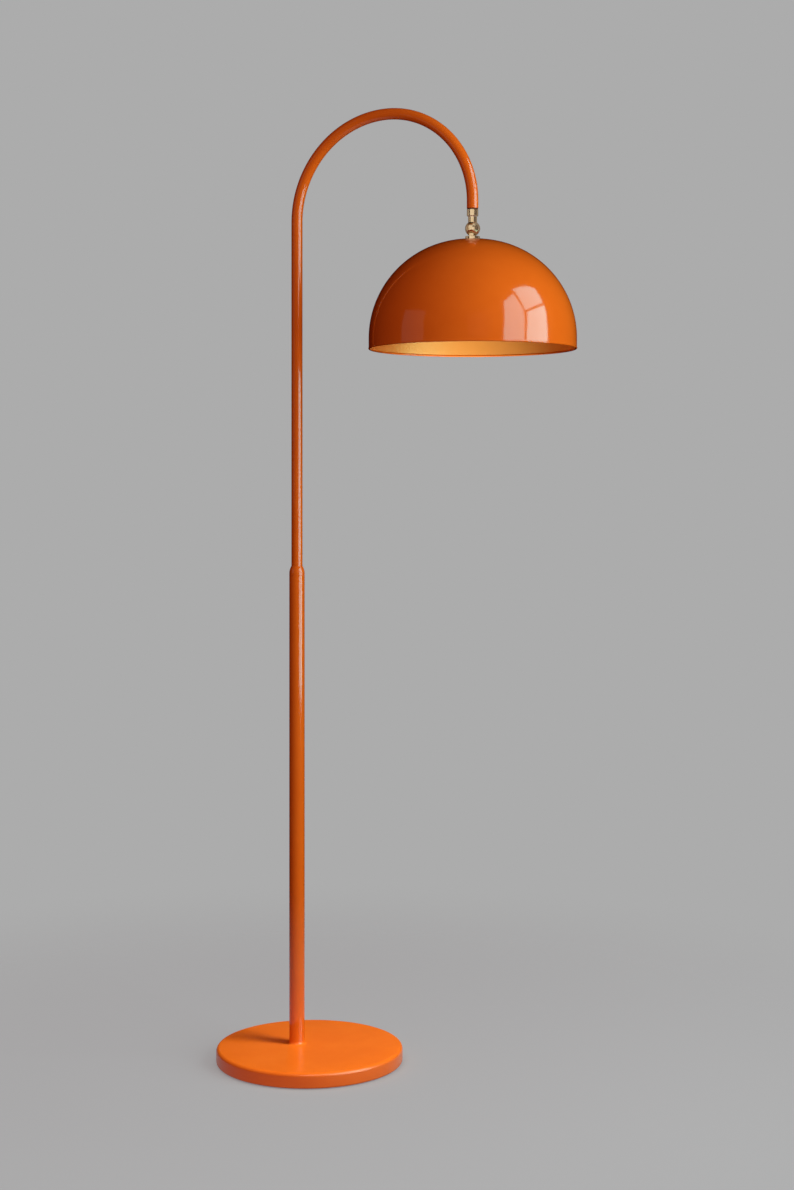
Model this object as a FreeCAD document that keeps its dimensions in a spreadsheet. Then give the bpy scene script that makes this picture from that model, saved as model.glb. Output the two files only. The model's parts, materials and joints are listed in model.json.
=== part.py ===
"""Floor lamp: a weighted round base, a two-part pole that slides and turns, a bent arm,
a ball-shaped swivel and a dome shade with its lampholder and lamp bulb.

The origin is the centre of the base's underside on the floor. +Z is up and +X runs along
the arm, from the pole to the shade. Lengths are in millimetres, angles in degrees.
"""
import FreeCAD
import Part
import math
import os
import Sketcher
from FreeCAD import Placement, Rotation, Vector

SIZES = (
    ("seat_gap", 0.2, "clearance round a piece that sits in another"),
    ("running_gap", 0.05, "radial clearance of a fit that turns or slides"),
    ("stop_gap", 0.3, "clearance left at the end of a travel"),
    ("edge_break", 0.5, "small bevel on a turned edge"),
    ("overrun", 2, "how far a cut runs past the face it opens"),
    ("pad_clear", 1, "gap between the floor pad and the cover's lip"),
    ("pad_thick", 2, "floor pad, thickness"),
    ("base_radius", 151.4, "base cover, outer radius"),
    ("base_height", 25.4, "top of the base above the floor"),
    ("cover_lift", 1.2, "lower edge of the base cover above the floor"),
    ("cover_wall", 1.5, "base cover, sheet thickness"),
    ("cover_top_round", 5, "base cover, upper edge radius"),
    ("cover_edge_round", 3, "base cover, lower edge radius"),
    ("cover_lip", 8, "width of the lip rolled in under the weight"),
    ("weight_pocket_inner", 80, "ring pocket under the weight, inner radius"),
    ("weight_foot", 18.3, "width of the ring that the weight stands on, outside its pocket"),
    ("weight_pocket_depth", 9, "ring pocket under the weight, depth"),
    ("back_bearing", 180, "bearing of the pole and the cable gland from the base centre"),
    ("pole_offset", 23.3, "pole axis from the base centre"),
    ("recess_radius", 19, "recess under the pole for washer and nut, radius"),
    ("recess_depth", 10, "recess under the pole, depth in the weight"),
    ("channel_width", 12, "cable channel under the weight, width"),
    ("channel_depth", 12.5, "cable channel under the weight, depth"),
    ("gland_height", 9.5, "cable gland axis above the floor"),
    ("gland_bore", 3.3, "cable gland, bore radius"),
    ("gland_barrel", 4.5, "cable gland, radius in the cover's wall"),
    ("gland_snap", 5.2, "cable gland, radius of the inner snap collar"),
    ("gland_snap_width", 2, "cable gland, width of the snap collar"),
    ("gland_flange", 7, "cable gland, outer flange radius"),
    ("gland_flange_thick", 1.8, "cable gland, outer flange thickness"),
    ("stud_radius", 5, "threaded hollow stud, outer radius"),
    ("stud_bore", 3.4, "threaded hollow stud, bore radius"),
    ("stud_tail", 0.8, "stud standing below its nut"),
    ("stud_engage", 24, "length of stud in the pole plug"),
    ("foot_washer_radius", 16, "washer under the pole, radius"),
    ("foot_washer_thick", 2, "washer under the pole, thickness"),
    ("foot_nut_corner", 9.8, "nut under the pole, radius over the corners"),
    ("foot_nut_thick", 5.5, "nut under the pole, thickness"),
    ("plug_height", 36.3, "threaded plug in the pole's foot, height"),
    ("pole_wall", 1.5, "lower tube, wall"),
    ("pole_length", 764.3, "lower tube, length"),
    ("collar_band", 3, "collar, straight band above the tube"),
    ("collar_crown", 11.7, "collar, height of the rounded shoulder"),
    ("collar_clear", 0.35, "collar, clearance round the arm in the upper hole"),
    ("collar_lip", 4.7, "collar, thickness of the upper lip"),
    ("collar_spigot", 40, "collar, length of the spigot in the tube"),
    ("spigot_wall", 1.05, "collar, wall of the spigot between the tube and the bush"),
    ("bush_wall", 0.8, "collar bush, wall"),
    ("bush_flange", 2, "collar bush, thickness of its lower flange"),
    ("arm_radius", 9, "arm tube, outer radius"),
    ("arm_wall", 1.2, "arm tube, wall"),
    ("travel_up", 121.4, "how far the arm slides up before its guide meets the bush"),
    ("guide_length", 60, "guide sleeve round the arm's lower end, length"),
    ("guide_foot", 4, "guide sleeve, thickness of its closed end"),
    ("spring_height", 1365.8, "where the arm starts to bend, above the floor"),
    ("left_bend", 163, "bend radius on the pole's side"),
    ("right_bend", 147.6, "bend radius on the shade's side"),
    ("tip_drop", 12.4, "straight end of the arm above the swivel"),
    ("lead_radius", 2.9, "inner lead, radius"),
    ("lead_entry", 4, "how far the inner lead enters the swivel's pivot"),
    ("insert_height", 8.8, "threaded insert in the arm's end, height"),
    ("band_height", 12.1, "swivel collar, height of the visible band"),
    ("spigot_radius", 6, "swivel collar, radius of the upper spigot"),
    ("spigot_height", 9, "swivel collar, height of the upper spigot"),
    ("pivot_radius", 4.6, "hollow pivot of the fork, radius"),
    ("pivot_bore", 3.1, "hollow pivot of the fork, bore radius"),
    ("pivot_washer_radius", 6.6, "washer between collar and fork, radius"),
    ("pivot_washer_thick", 0.8, "washer between collar and fork, thickness"),
    ("pivot_nut_clear", 0.7, "clearance round the corners of the nut on the pivot"),
    ("pivot_nut_thick", 3.2, "nut on the pivot, thickness"),
    ("neck_radius", 7, "fork, radius of the neck above the ball"),
    ("fork_rise", 18.75, "top of the fork's neck above the hinge axis"),
    ("ball_radius", 11.9, "fork, radius of the ball"),
    ("slot_width", 8.3, "fork, width of the slot for the tongue"),
    ("slot_roof", 9.4, "fork, top of the slot above the hinge axis"),
    ("tongue_thick", 7.3, "tongue, thickness"),
    ("eye_radius", 9, "tongue, radius of the eye"),
    ("stem_radius", 5, "threaded stem of the tongue, radius"),
    ("screw_radius", 2.5, "hinge screw, shank radius"),
    ("screw_head_radius", 4.2, "hinge screw, head radius"),
    ("screw_head_thick", 1.9, "hinge screw, head thickness"),
    ("screw_seat", 9.2, "seat of the hinge screw's head from the ball's centre"),
    ("screw_reach", 10.4, "end of the hinge screw from the ball's centre"),
    ("screw_slot_width", 1.1, "slot in the hinge screw's head, width"),
    ("screw_slot_depth", 0.9, "slot in the hinge screw's head, depth"),
    ("tilt_washer_radius", 7.5, "washers beside the tongue, radius"),
    ("tilt_washer_thick", 0.4, "washers beside the tongue, thickness"),
    ("seat_washer_radius", 11.7, "turned washer on the shade, radius"),
    ("seat_washer_thick", 5.1, "turned washer on the shade, thickness"),
    ("seat_washer_round", 1, "turned washer on the shade, edge bevel"),
    ("shade_radius", 162.5, "shade, outer radius of the skirt"),
    ("shade_skirt", 17, "shade, height of the straight skirt"),
    ("shade_inset", 8, "shade, how much smaller the shoulder curve's radius is than the skirt's"),
    ("shade_ease", 45.5, "shade, how much larger the crown curve's radius is than the shoulder's"),
    ("shade_flat", 15, "shade, radius of the flat seat on top"),
    ("shade_wall", 1.2, "shade, sheet thickness"),
    ("hem_proud", 0.5, "rolled hem, how far it stands out"),
    ("hem_height", 3.2, "rolled hem, height"),
    ("hem_thick", 3.2, "rolled hem, thickness"),
    ("hem_edge", 0.8, "rolled hem, edge bevel"),
    ("stem_washer_radius", 14, "washer inside the shade, radius"),
    ("stem_washer_thick", 1.5, "washer inside the shade, thickness"),
    ("stem_nut_corner", 9.8, "nut inside the shade, radius over the corners"),
    ("stem_nut_thick", 5, "nut inside the shade, thickness"),
    ("cap_radius", 19.5, "lampholder cap, radius"),
    ("cap_crown", 10, "lampholder cap, radius of the flat top"),
    ("cap_slope", 8, "lampholder cap, height of the sloping shoulder"),
    ("cap_height", 22, "lampholder cap, height"),
    ("cap_wall", 1.9, "lampholder cap, wall"),
    ("stem_end", 10, "how far the stem reaches into the lampholder cap"),
    ("sleeve_radius", 20.5, "lampholder sleeve, radius"),
    ("sleeve_length", 38, "lampholder sleeve, length below the cap"),
    ("sleeve_wall", 2.2, "lampholder sleeve, wall"),
    ("sleeve_spigot", 8, "lampholder sleeve, height of the spigot in the cap"),
    ("sleeve_mouth", 15.2, "lampholder sleeve, radius of the mouth"),
    ("mouth_thick", 2.6, "lampholder sleeve, thickness of the mouth ring"),
    ("block_height", 11, "lampholder contact block, height"),
    ("shell_radius", 13.9, "lampholder threaded liner, outer radius"),
    ("shell_wall", 0.4, "lampholder threaded liner, wall"),
    ("shell_length", 27, "lampholder threaded liner, length"),
    ("contact_width", 5, "lampholder centre contact, width"),
    ("contact_thick", 0.5, "lampholder centre contact, thickness"),
    ("contact_drop", 4, "lampholder centre contact, how far it bends down"),
    ("contact_reach", 7, "lampholder centre contact, half of its span"),
    ("terminal_radius", 2.6, "terminal screws, head radius"),
    ("terminal_height", 2, "terminal screws, head height"),
    ("terminal_reach", 11.5, "terminal screws, distance from the axis"),
    ("core_radius", 1.1, "insulated core, radius"),
    ("core_spread", 1.6, "insulated core, distance from the axis in the stem"),
    ("core_bend", 1.6, "insulated core, bend radius"),
    ("tip_radius", 4.5, "bulb, centre contact radius"),
    ("tip_thick", 1.2, "bulb, centre contact thickness"),
    ("glass_base_height", 4, "bulb, height of the dark glass insulator"),
    ("glass_base_radius", 10.5, "bulb, radius of the dark glass insulator"),
    ("cap_shell_radius", 13.1, "bulb cap, outer radius of the thread"),
    ("cap_shell_wall", 0.5, "bulb cap, wall under the thread"),
    ("cap_shell_length", 21, "bulb cap, length"),
    ("thread_depth", 0.8, "bulb cap, depth of the rolled thread"),
    ("thread_pitch", 3.6, "bulb cap, pitch of the rolled thread"),
    ("bulb_radius", 30, "bulb, radius of the globe"),
    ("bulb_length", 106, "bulb, whole length"),
    ("bulb_neck", 13.4, "bulb, radius of the glass at the cap"),
    ("bulb_collar", 4, "bulb, height of the straight glass at the cap"),
    ("bulb_wall", 0.8, "bulb, glass thickness"),
    ("mount_radius", 4, "bulb, radius of the inner glass mount"),
    ("mount_height", 26, "bulb, height of the inner glass mount"),
    ("filament_radius", 0.9, "bulb, filament radius"),
    ("filament_length", 34, "bulb, filament length"),
    ("filament_spread", 6.5, "bulb, filaments' distance from the axis"),
)
THREAD_TURNS = 4
FILAMENTS = 4
HALF = 0.5
FULL_TURN = 360
QUARTER_TURN = 90


class Size:
    """A length or a number: the expression that the document evaluates and its present value."""

    def __init__(self, text, value):
        self.text = text
        self.value = value

    def __add__(self, other):
        return Size(f"({self.text} + {other.text})", self.value + other.value)

    def __sub__(self, other):
        return Size(f"({self.text} - {other.text})", self.value - other.value)

    def __neg__(self):
        return Size(f"(-{self.text})", -self.value)

    def __mul__(self, factor):
        if isinstance(factor, Size):
            return Size(f"({self.text} * {factor.text})", self.value * factor.value)
        return Size(f"({self.text} * {factor})", self.value * factor)

    def __truediv__(self, other):
        return Size(f"({self.text} / {other.text})", self.value / other.value)

    def root(self):
        """Square root."""
        return Size(f"sqrt({self.text})", math.sqrt(self.value))


class Sheet:
    """The spreadsheet of driving sizes, read as attributes that are Size objects."""

    def __init__(self, doc, rows):
        self.table = doc.addObject("Spreadsheet::Sheet", "sizes")
        for number, (alias, value, note) in enumerate(rows, start=1):
            self.table.set(f"A{number}", note)
            self.table.set(f"B{number}", str(value))
            self.table.setAlias(f"B{number}", alias)
        doc.recompute()

    def __getattr__(self, alias):
        return Size(f"sizes.{alias}", float(getattr(self.table, alias)))


ZERO = Size("0", 0.0)
doc = FreeCAD.newDocument("floor_lamp")
sz = Sheet(doc, SIZES)
nodes = {}


def bind(item, path, size):
    """Ties one property of an object to a size."""
    item.setExpression(path, size.text)


def place(item, east=ZERO, north=ZERO, up=ZERO, bearing=None):
    """Puts an object at a place worked out from the sheet, turned about the vertical."""
    if bearing is not None:
        item.Placement = Placement(Vector(), Rotation(Vector(0, 0, 1), bearing.value))
        bind(item, "Placement.Rotation.Angle", bearing)
    bind(item, "Placement.Base.x", east)
    bind(item, "Placement.Base.y", north)
    bind(item, "Placement.Base.z", up)


def keep(item, label):
    """Registers an object as a sub-part under the name of its file."""
    item.Label = label
    nodes[label] = item
    return item


def new_body(label, **where):
    """An empty body, placed, and kept as a sub-part."""
    body = doc.addObject("PartDesign::Body", f"{label}_body")
    place(body, **where)
    return keep(body, label)


def sketch_on(body, role, lift=None):
    """An empty sketch on one of the body's own origin planes, raised along its normal."""
    sketch = body.newObject("Sketcher::SketchObject", f"{body.Label}_sketch")
    plane = [item for item in body.Origin.OriginFeatures if item.Role == role][0]
    sketch.AttachmentSupport = (plane, [""])
    sketch.MapMode = "FlatFace"
    if lift is not None:
        bind(sketch, "AttachmentOffset.Base.z", lift)
    return sketch


def pin_point(sketch, edge, end, across, up):
    """Holds one end of an edge at a place given by two sizes."""
    for kind, axis, size in (("DistanceX", -2, across), ("DistanceY", -1, up)):
        if size is ZERO:
            sketch.addConstraint(Sketcher.Constraint("PointOnObject", edge, end, axis))
        else:
            number = sketch.addConstraint(Sketcher.Constraint(kind, -1, 1, edge, end, size.value))
            bind(sketch, f"Constraints[{number}]", size)


def bowed_edge(start, end, radius, side):
    """An arc shorter than half a turn from start to end, bulging to the given side."""
    chord = end - start
    middle = (start + end) * HALF
    sagging = math.sqrt(max(radius ** 2 - (chord.Length * HALF) ** 2, 0.0))
    across = Vector(chord.y, -chord.x, 0)
    across.normalize()
    centre = middle - across * sagging * side
    crest = centre + across * radius * side
    return Part.Arc(start, crest, end)


def trace(sketch, corners, closed=True):
    """Draws an outline through corners given as (across, up) or (across, up, radius, side).

    The last two items make the edge that leaves a corner an arc: side 1 bulges to the right
    of the way it runs, side -1 to the left.
    """
    points = [Vector(corner[0].value, corner[1].value, 0) for corner in corners]
    count = len(corners) if closed else len(corners) - 1
    for number in range(count):
        start = points[number]
        end = points[(number + 1) % len(points)]
        if len(corners[number]) == 4:
            radius, side = corners[number][2:]
            edge = sketch.addGeometry(bowed_edge(start, end, radius.value, side))
            backwards = (sketch.getPoint(edge, 1) - start).Length > sz.edge_break.value * HALF
            first, last = (2, 1) if backwards else (1, 2)
            fixed = sketch.addConstraint(Sketcher.Constraint("Radius", edge, radius.value))
            bind(sketch, f"Constraints[{fixed}]", radius)
        else:
            edge = sketch.addGeometry(Part.LineSegment(start, end))
            first, last = 1, 2
        pin_point(sketch, edge, first, corners[number][0], corners[number][1])
        if number == 0:
            opening = first
        else:
            sketch.addConstraint(Sketcher.Constraint("Coincident", edge - 1, before, edge, first))
        before = last
    if closed:
        sketch.addConstraint(Sketcher.Constraint("Coincident", count - 1, before, 0, opening))
    else:
        pin_point(sketch, count - 1, before, corners[-1][0], corners[-1][1])
    return sketch


def circles(sketch, radii, across=ZERO, up=ZERO):
    """Circles of the given radii round one centre."""
    for radius in radii:
        centre = Vector(across.value, up.value, 0)
        edge = sketch.addGeometry(Part.Circle(centre, Vector(0, 0, 1), radius.value))
        pin_point(sketch, edge, 3, across, up)
        number = sketch.addConstraint(Sketcher.Constraint("Radius", edge, radius.value))
        bind(sketch, f"Constraints[{number}]", radius)
    return sketch


def feature(body, kind, sketch):
    """Adds a sketch-based feature to a body."""
    item = body.newObject(f"PartDesign::{kind}", f"{body.Label}_{kind.lower()}")
    item.Profile = sketch
    return item


def spin(body, corners, axis="V_Axis", role="XZ_Plane", kind="Revolution"):
    """Turns an outline a full turn about an axis of its sketch."""
    sketch = trace(sketch_on(body, role), corners)
    item = feature(body, kind, sketch)
    item.ReferenceAxis = (sketch, [axis])
    item.Angle = FULL_TURN
    return item


def pad(body, sketch, length, both_ways=False, down=False):
    """Raises a sketch into a solid."""
    item = feature(body, "Pad", sketch)
    item.SideType = "Symmetric" if both_ways else "One side"
    item.Reversed = down
    bind(item, "Length", length)
    return item


def cut(body, sketch, length=None, both_ways=False, onwards=False):
    """Cuts a sketch out of the body, by a length or right through, and checks that it cut."""
    doc.recompute()
    before = body.Shape.Volume
    item = feature(body, "Pocket", sketch)
    item.SideType = "Symmetric" if both_ways else "One side"
    item.Reversed = onwards
    if length is None:
        item.Type = "ThroughAll"
    else:
        bind(item, "Length", length)
    doc.recompute()
    if not body.Shape.Volume < before:
        raise RuntimeError(f"{item.Name} cut nothing")
    return item


def ring(label, outer, inner, height, **where):
    """A plain turned ring that stands on its own origin."""
    body = new_body(label, **where)
    pad(body, circles(sketch_on(body, "XY_Plane"), (outer, inner)), height)
    return body


def hex_nut(label, corner, bore, height, **where):
    """A hexagon nut that stands on its own origin."""
    prism = doc.addObject("Part::Prism", f"{label}_prism")
    prism.Polygon = 6
    bind(prism, "Circumradius", corner)
    bind(prism, "Height", height)
    hole = doc.addObject("Part::Cylinder", f"{label}_hole")
    bind(hole, "Radius", bore)
    bind(hole, "Height", height + sz.overrun + sz.overrun)
    bind(hole, "Placement.Base.z", -sz.overrun)
    nut = doc.addObject("Part::Cut", f"{label}_cut")
    nut.Base = prism
    nut.Tool = hole
    place(nut, **where)
    return keep(nut, label)


# Places that several pieces share
turn_cos = Size("cos(sizes.back_bearing * 1 deg)", math.cos(math.radians(sz.back_bearing.value)))
turn_sin = Size("sin(sizes.back_bearing * 1 deg)", math.sin(math.radians(sz.back_bearing.value)))
pole_east = sz.pole_offset * turn_cos
pole_north = sz.pole_offset * turn_sin
reach = sz.left_bend + sz.right_bend
shade_east = pole_east + reach
at_pole = {"east": pole_east, "north": pole_north}
at_shade = {"east": shade_east, "north": pole_north}
pole_top = sz.base_height + sz.pole_length
bush_bore = sz.arm_radius + sz.running_gap
bush_out = bush_bore + sz.bush_wall
bush_seat = bush_out + sz.running_gap
spigot = bush_seat + sz.spigot_wall
pole_bore = spigot + sz.running_gap
pole_radius = pole_bore + sz.pole_wall
arm_bore = sz.arm_radius - sz.arm_wall
bush_foot = pole_top - sz.collar_spigot - sz.bush_flange
arm_low = bush_foot - sz.stop_gap - sz.travel_up - sz.guide_length
apex = sz.spring_height + sz.left_bend
right_spring = apex - sz.right_bend
arm_tip = right_spring - sz.tip_drop
hinge_height = arm_tip - sz.band_height - sz.pivot_washer_thick - sz.running_gap - sz.fork_rise
weight_low = sz.cover_lift + sz.cover_wall
weight_top = sz.base_height - sz.cover_wall
recess_roof = weight_low + sz.recess_depth
stud_hole = sz.stud_radius + sz.seat_gap


def build_base():
    """The floor pad, the weight, its cover and what clamps the pole to them."""
    cover = new_body("base_cover", bearing=sz.back_bearing)
    top_in = sz.cover_top_round - sz.cover_wall
    edge_in = sz.cover_edge_round - sz.cover_wall
    flank = sz.base_radius - sz.cover_wall
    crown_start = sz.base_radius - sz.cover_top_round
    roll_start = sz.base_radius - sz.cover_edge_round
    lip = roll_start - sz.cover_lip
    spin(cover, (
        (lip, sz.cover_lift),
        (roll_start, sz.cover_lift, sz.cover_edge_round, 1),
        (sz.base_radius, sz.cover_lift + sz.cover_edge_round),
        (sz.base_radius, sz.base_height - sz.cover_top_round, sz.cover_top_round, 1),
        (crown_start, sz.base_height),
        (ZERO, sz.base_height),
        (ZERO, weight_top),
        (crown_start, weight_top, top_in, -1),
        (flank, sz.base_height - sz.cover_top_round),
        (flank, sz.cover_lift + sz.cover_edge_round, edge_in, -1),
        (roll_start, weight_low),
        (lip, weight_low),
    ))
    cut(cover, circles(sketch_on(cover, "XY_Plane"), (stud_hole,), across=sz.pole_offset), onwards=True)
    cut(cover, circles(sketch_on(cover, "YZ_Plane"), (sz.gland_barrel + sz.seat_gap,), up=sz.gland_height),
        onwards=True)

    foam = new_body("floor_pad")
    pad(foam, circles(sketch_on(foam, "XY_Plane"), (lip - sz.pad_clear,)), sz.pad_thick)

    weight = new_body("base_weight", bearing=sz.back_bearing)
    rim = flank - sz.seat_gap
    pocket_out = rim - sz.weight_foot
    pocket_roof = weight_low + sz.weight_pocket_depth
    spin(weight, (
        (ZERO, weight_low),
        (sz.weight_pocket_inner, weight_low),
        (sz.weight_pocket_inner, pocket_roof),
        (pocket_out, pocket_roof),
        (pocket_out, weight_low),
        (rim - edge_in, weight_low),
        (rim, weight_low + edge_in),
        (rim, weight_top - top_in),
        (rim - top_in, weight_top),
        (ZERO, weight_top),
    ))
    recess = circles(sketch_on(weight, "XY_Plane"), (sz.recess_radius,), across=sz.pole_offset)
    cut(weight, recess, recess_roof, onwards=True)
    cut(weight, circles(sketch_on(weight, "XY_Plane"), (stud_hole,), across=sz.pole_offset), onwards=True)
    half_channel = sz.channel_width * HALF
    channel = trace(sketch_on(weight, "XY_Plane"), (
        (sz.pole_offset, -half_channel),
        (sz.base_radius, -half_channel),
        (sz.base_radius, half_channel),
        (sz.pole_offset, half_channel),
    ))
    cut(weight, channel, weight_low + sz.channel_depth, onwards=True)

    gland = new_body("cable_gland", up=sz.gland_height, bearing=sz.back_bearing)
    snap_out = flank - sz.seat_gap
    snap_in = snap_out - sz.gland_snap_width
    flange_out = sz.base_radius + sz.gland_flange_thick
    spin(gland, (
        (snap_in, sz.gland_bore),
        (flange_out, sz.gland_bore),
        (flange_out, sz.gland_flange - sz.edge_break),
        (flange_out - sz.edge_break, sz.gland_flange),
        (sz.base_radius, sz.gland_flange),
        (sz.base_radius, sz.gland_barrel),
        (snap_out, sz.gland_barrel),
        (snap_out, sz.gland_snap),
        (snap_in, sz.gland_barrel),
    ), axis="H_Axis")

    washer_low = recess_roof - sz.foot_washer_thick
    nut_low = washer_low - sz.foot_nut_thick
    stud_low = nut_low - sz.stud_tail
    ring("foot_washer", sz.foot_washer_radius, stud_hole, sz.foot_washer_thick, up=washer_low, **at_pole)
    hex_nut("foot_nut", sz.foot_nut_corner, sz.stud_radius + sz.running_gap, sz.foot_nut_thick,
            up=nut_low, **at_pole)
    ring("pole_stud", sz.stud_radius, sz.stud_bore, sz.base_height + sz.stud_engage - stud_low,
         up=stud_low, **at_pole)


def build_pole():
    """The lower tube, its threaded foot plug and the collar with its bush."""
    ring("pole_plug", spigot, sz.stud_radius + sz.running_gap, sz.plug_height,
         up=sz.base_height, **at_pole)
    ring("pole_tube", pole_radius, pole_bore, sz.pole_length, up=sz.base_height, **at_pole)

    collar = new_body("pole_collar", up=pole_top, **at_pole)
    top = sz.collar_band + sz.collar_crown
    hole = sz.arm_radius + sz.collar_clear
    inset = pole_radius - hole
    shoulder = (inset * inset + sz.collar_crown * sz.collar_crown) / (inset + inset)
    spin(collar, (
        (spigot, -sz.collar_spigot),
        (spigot, ZERO),
        (pole_radius, ZERO),
        (pole_radius, sz.collar_band, shoulder, 1),
        (hole, top),
        (hole, top - sz.collar_lip),
        (bush_seat, top - sz.collar_lip),
        (bush_seat, -sz.collar_spigot),
    ))

    bush = new_body("collar_bush", up=pole_top, **at_pole)
    spin(bush, (
        (bush_bore, -sz.collar_spigot - sz.bush_flange),
        (spigot, -sz.collar_spigot - sz.bush_flange),
        (spigot, -sz.collar_spigot),
        (bush_out, -sz.collar_spigot),
        (bush_out, top - sz.collar_lip - sz.seat_gap),
        (bush_bore, top - sz.collar_lip - sz.seat_gap),
    ))


def sweep(label, path_corners, radii):
    """A round tube or rod swept along a path in the arm's plane, from its lower end."""
    body = new_body(label, **at_pole)
    path = trace(sketch_on(body, "XZ_Plane"), path_corners, closed=False)
    section = circles(sketch_on(body, "XY_Plane", lift=path_corners[0][1]), radii)
    doc.recompute()
    pipe = feature(body, "AdditivePipe", section)
    pipe.Spine = (path, [f"Edge{number + 1}" for number in range(len(path_corners) - 1)])
    return body


def build_arm():
    """The bent arm with its guide, its inner lead and the fixed half of the swivel."""
    bend = (
        (ZERO, sz.spring_height, sz.left_bend, -1),
        (sz.left_bend, apex, sz.right_bend, -1),
    )
    tube_path = ((ZERO, arm_low + sz.running_gap),) + bend + ((reach, right_spring), (reach, arm_tip))
    sweep("arm_tube", tube_path, (sz.arm_radius, arm_bore))
    lead_path = ((ZERO, arm_low - sz.guide_foot),) + bend
    lead_path += ((reach, right_spring), (reach, arm_tip + sz.spigot_height - sz.lead_entry))
    sweep("arm_lead", lead_path, (sz.lead_radius,))

    guide = new_body("riser_guide", up=arm_low, **at_pole)
    lead_hole = sz.lead_radius + sz.seat_gap
    spin(guide, (
        (lead_hole, -sz.guide_foot),
        (spigot - sz.edge_break, -sz.guide_foot),
        (spigot, sz.edge_break - sz.guide_foot),
        (spigot, sz.guide_length),
        (bush_bore, sz.guide_length),
        (bush_bore, ZERO),
        (lead_hole, ZERO),
    ))

    insert_out = arm_bore - sz.running_gap
    ring("tip_insert", insert_out, sz.spigot_radius + sz.running_gap, sz.insert_height,
         up=arm_tip, **at_shade)
    collar = new_body("swivel_collar", up=arm_tip, **at_shade)
    bore = sz.pivot_radius + sz.running_gap
    spin(collar, (
        (bore, -sz.band_height),
        (sz.arm_radius - sz.edge_break, -sz.band_height),
        (sz.arm_radius, sz.edge_break - sz.band_height),
        (sz.arm_radius, -sz.edge_break),
        (sz.arm_radius - sz.edge_break, ZERO),
        (sz.spigot_radius, ZERO),
        (sz.spigot_radius, sz.spigot_height),
        (bore, sz.spigot_height),
    ))
    washer_low = arm_tip - sz.band_height - sz.pivot_washer_thick
    ring("pivot_washer", sz.pivot_washer_radius, bore, sz.pivot_washer_thick, up=washer_low, **at_shade)


def build_swivel():
    """The fork that turns under the arm's end, with its nut, hinge screw and washers."""
    fork = new_body("swivel_fork", up=hinge_height, **at_shade)
    ball_top = (sz.ball_radius * sz.ball_radius - sz.neck_radius * sz.neck_radius).root()
    nut_low = arm_tip + sz.spigot_height + sz.seat_gap - hinge_height
    pivot_top = nut_low + sz.pivot_nut_thick + sz.seat_gap
    spin(fork, (
        (ZERO, -sz.ball_radius, sz.ball_radius, 1),
        (sz.ball_radius, ZERO, sz.ball_radius, 1),
        (sz.neck_radius, ball_top),
        (sz.neck_radius, sz.fork_rise),
        (sz.pivot_radius, sz.fork_rise),
        (sz.pivot_radius, pivot_top),
        (sz.pivot_bore, pivot_top),
        (sz.pivot_bore, sz.slot_roof),
        (ZERO, sz.slot_roof),
    ))
    half_slot = sz.slot_width * HALF
    slot_low = -sz.ball_radius - sz.overrun
    slot = trace(sketch_on(fork, "XZ_Plane"), (
        (-half_slot, slot_low),
        (half_slot, slot_low),
        (half_slot, sz.slot_roof),
        (-half_slot, sz.slot_roof),
    ))
    cut(fork, slot, (sz.ball_radius + sz.overrun) * 2, both_ways=True)
    hole = circles(sketch_on(fork, "YZ_Plane"), (sz.screw_radius + sz.running_gap,))
    cut(fork, hole, (sz.ball_radius + sz.overrun) * 2, both_ways=True)
    head_hole = sz.screw_head_radius + sz.seat_gap
    cut(fork, circles(sketch_on(fork, "YZ_Plane", lift=sz.screw_seat), (head_hole,)), sz.ball_radius,
        onwards=True)

    nut_corner = arm_bore - sz.pivot_nut_clear
    hex_nut("pivot_nut", nut_corner, sz.pivot_radius + sz.running_gap, sz.pivot_nut_thick,
            up=hinge_height + nut_low, **at_shade)

    screw = new_body("hinge_screw", up=hinge_height, **at_shade)
    head_top = sz.screw_seat + sz.screw_head_thick
    spin(screw, (
        (-sz.screw_reach, ZERO),
        (head_top, ZERO),
        (head_top, sz.screw_head_radius - sz.edge_break),
        (head_top - sz.edge_break, sz.screw_head_radius),
        (sz.screw_seat, sz.screw_head_radius),
        (sz.screw_seat, sz.screw_radius),
        (-sz.screw_reach, sz.screw_radius),
    ), axis="H_Axis")
    half_driver = sz.screw_slot_width * HALF
    driver = trace(sketch_on(screw, "YZ_Plane", lift=head_top - sz.screw_slot_depth), (
        (-half_driver, -sz.ball_radius),
        (half_driver, -sz.ball_radius),
        (half_driver, sz.ball_radius),
        (-half_driver, sz.ball_radius),
    ))
    cut(screw, driver, sz.ball_radius, onwards=True)

    pair = doc.addObject("Part::Compound", "tilt_washer_pair")
    washers = []
    for side, start in (("left", -half_slot), ("right", half_slot - sz.tilt_washer_thick)):
        disc = doc.addObject("Part::Cylinder", f"tilt_washer_{side}")
        bind(disc, "Radius", sz.tilt_washer_radius)
        bore = doc.addObject("Part::Cylinder", f"tilt_washer_{side}_bore")
        bind(bore, "Radius", sz.screw_radius + sz.running_gap)
        for item in (disc, bore):
            item.Placement = Placement(Vector(), Rotation(Vector(0, 1, 0), QUARTER_TURN))
            bind(item, "Height", sz.tilt_washer_thick)
            bind(item, "Placement.Base.x", start)
        washer = doc.addObject("Part::Cut", f"tilt_washer_{side}_ring")
        washer.Base = disc
        washer.Tool = bore
        washers.append(washer)
    pair.Links = washers
    place(pair, up=hinge_height, **at_shade)
    keep(pair, "tilt_washers")


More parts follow.
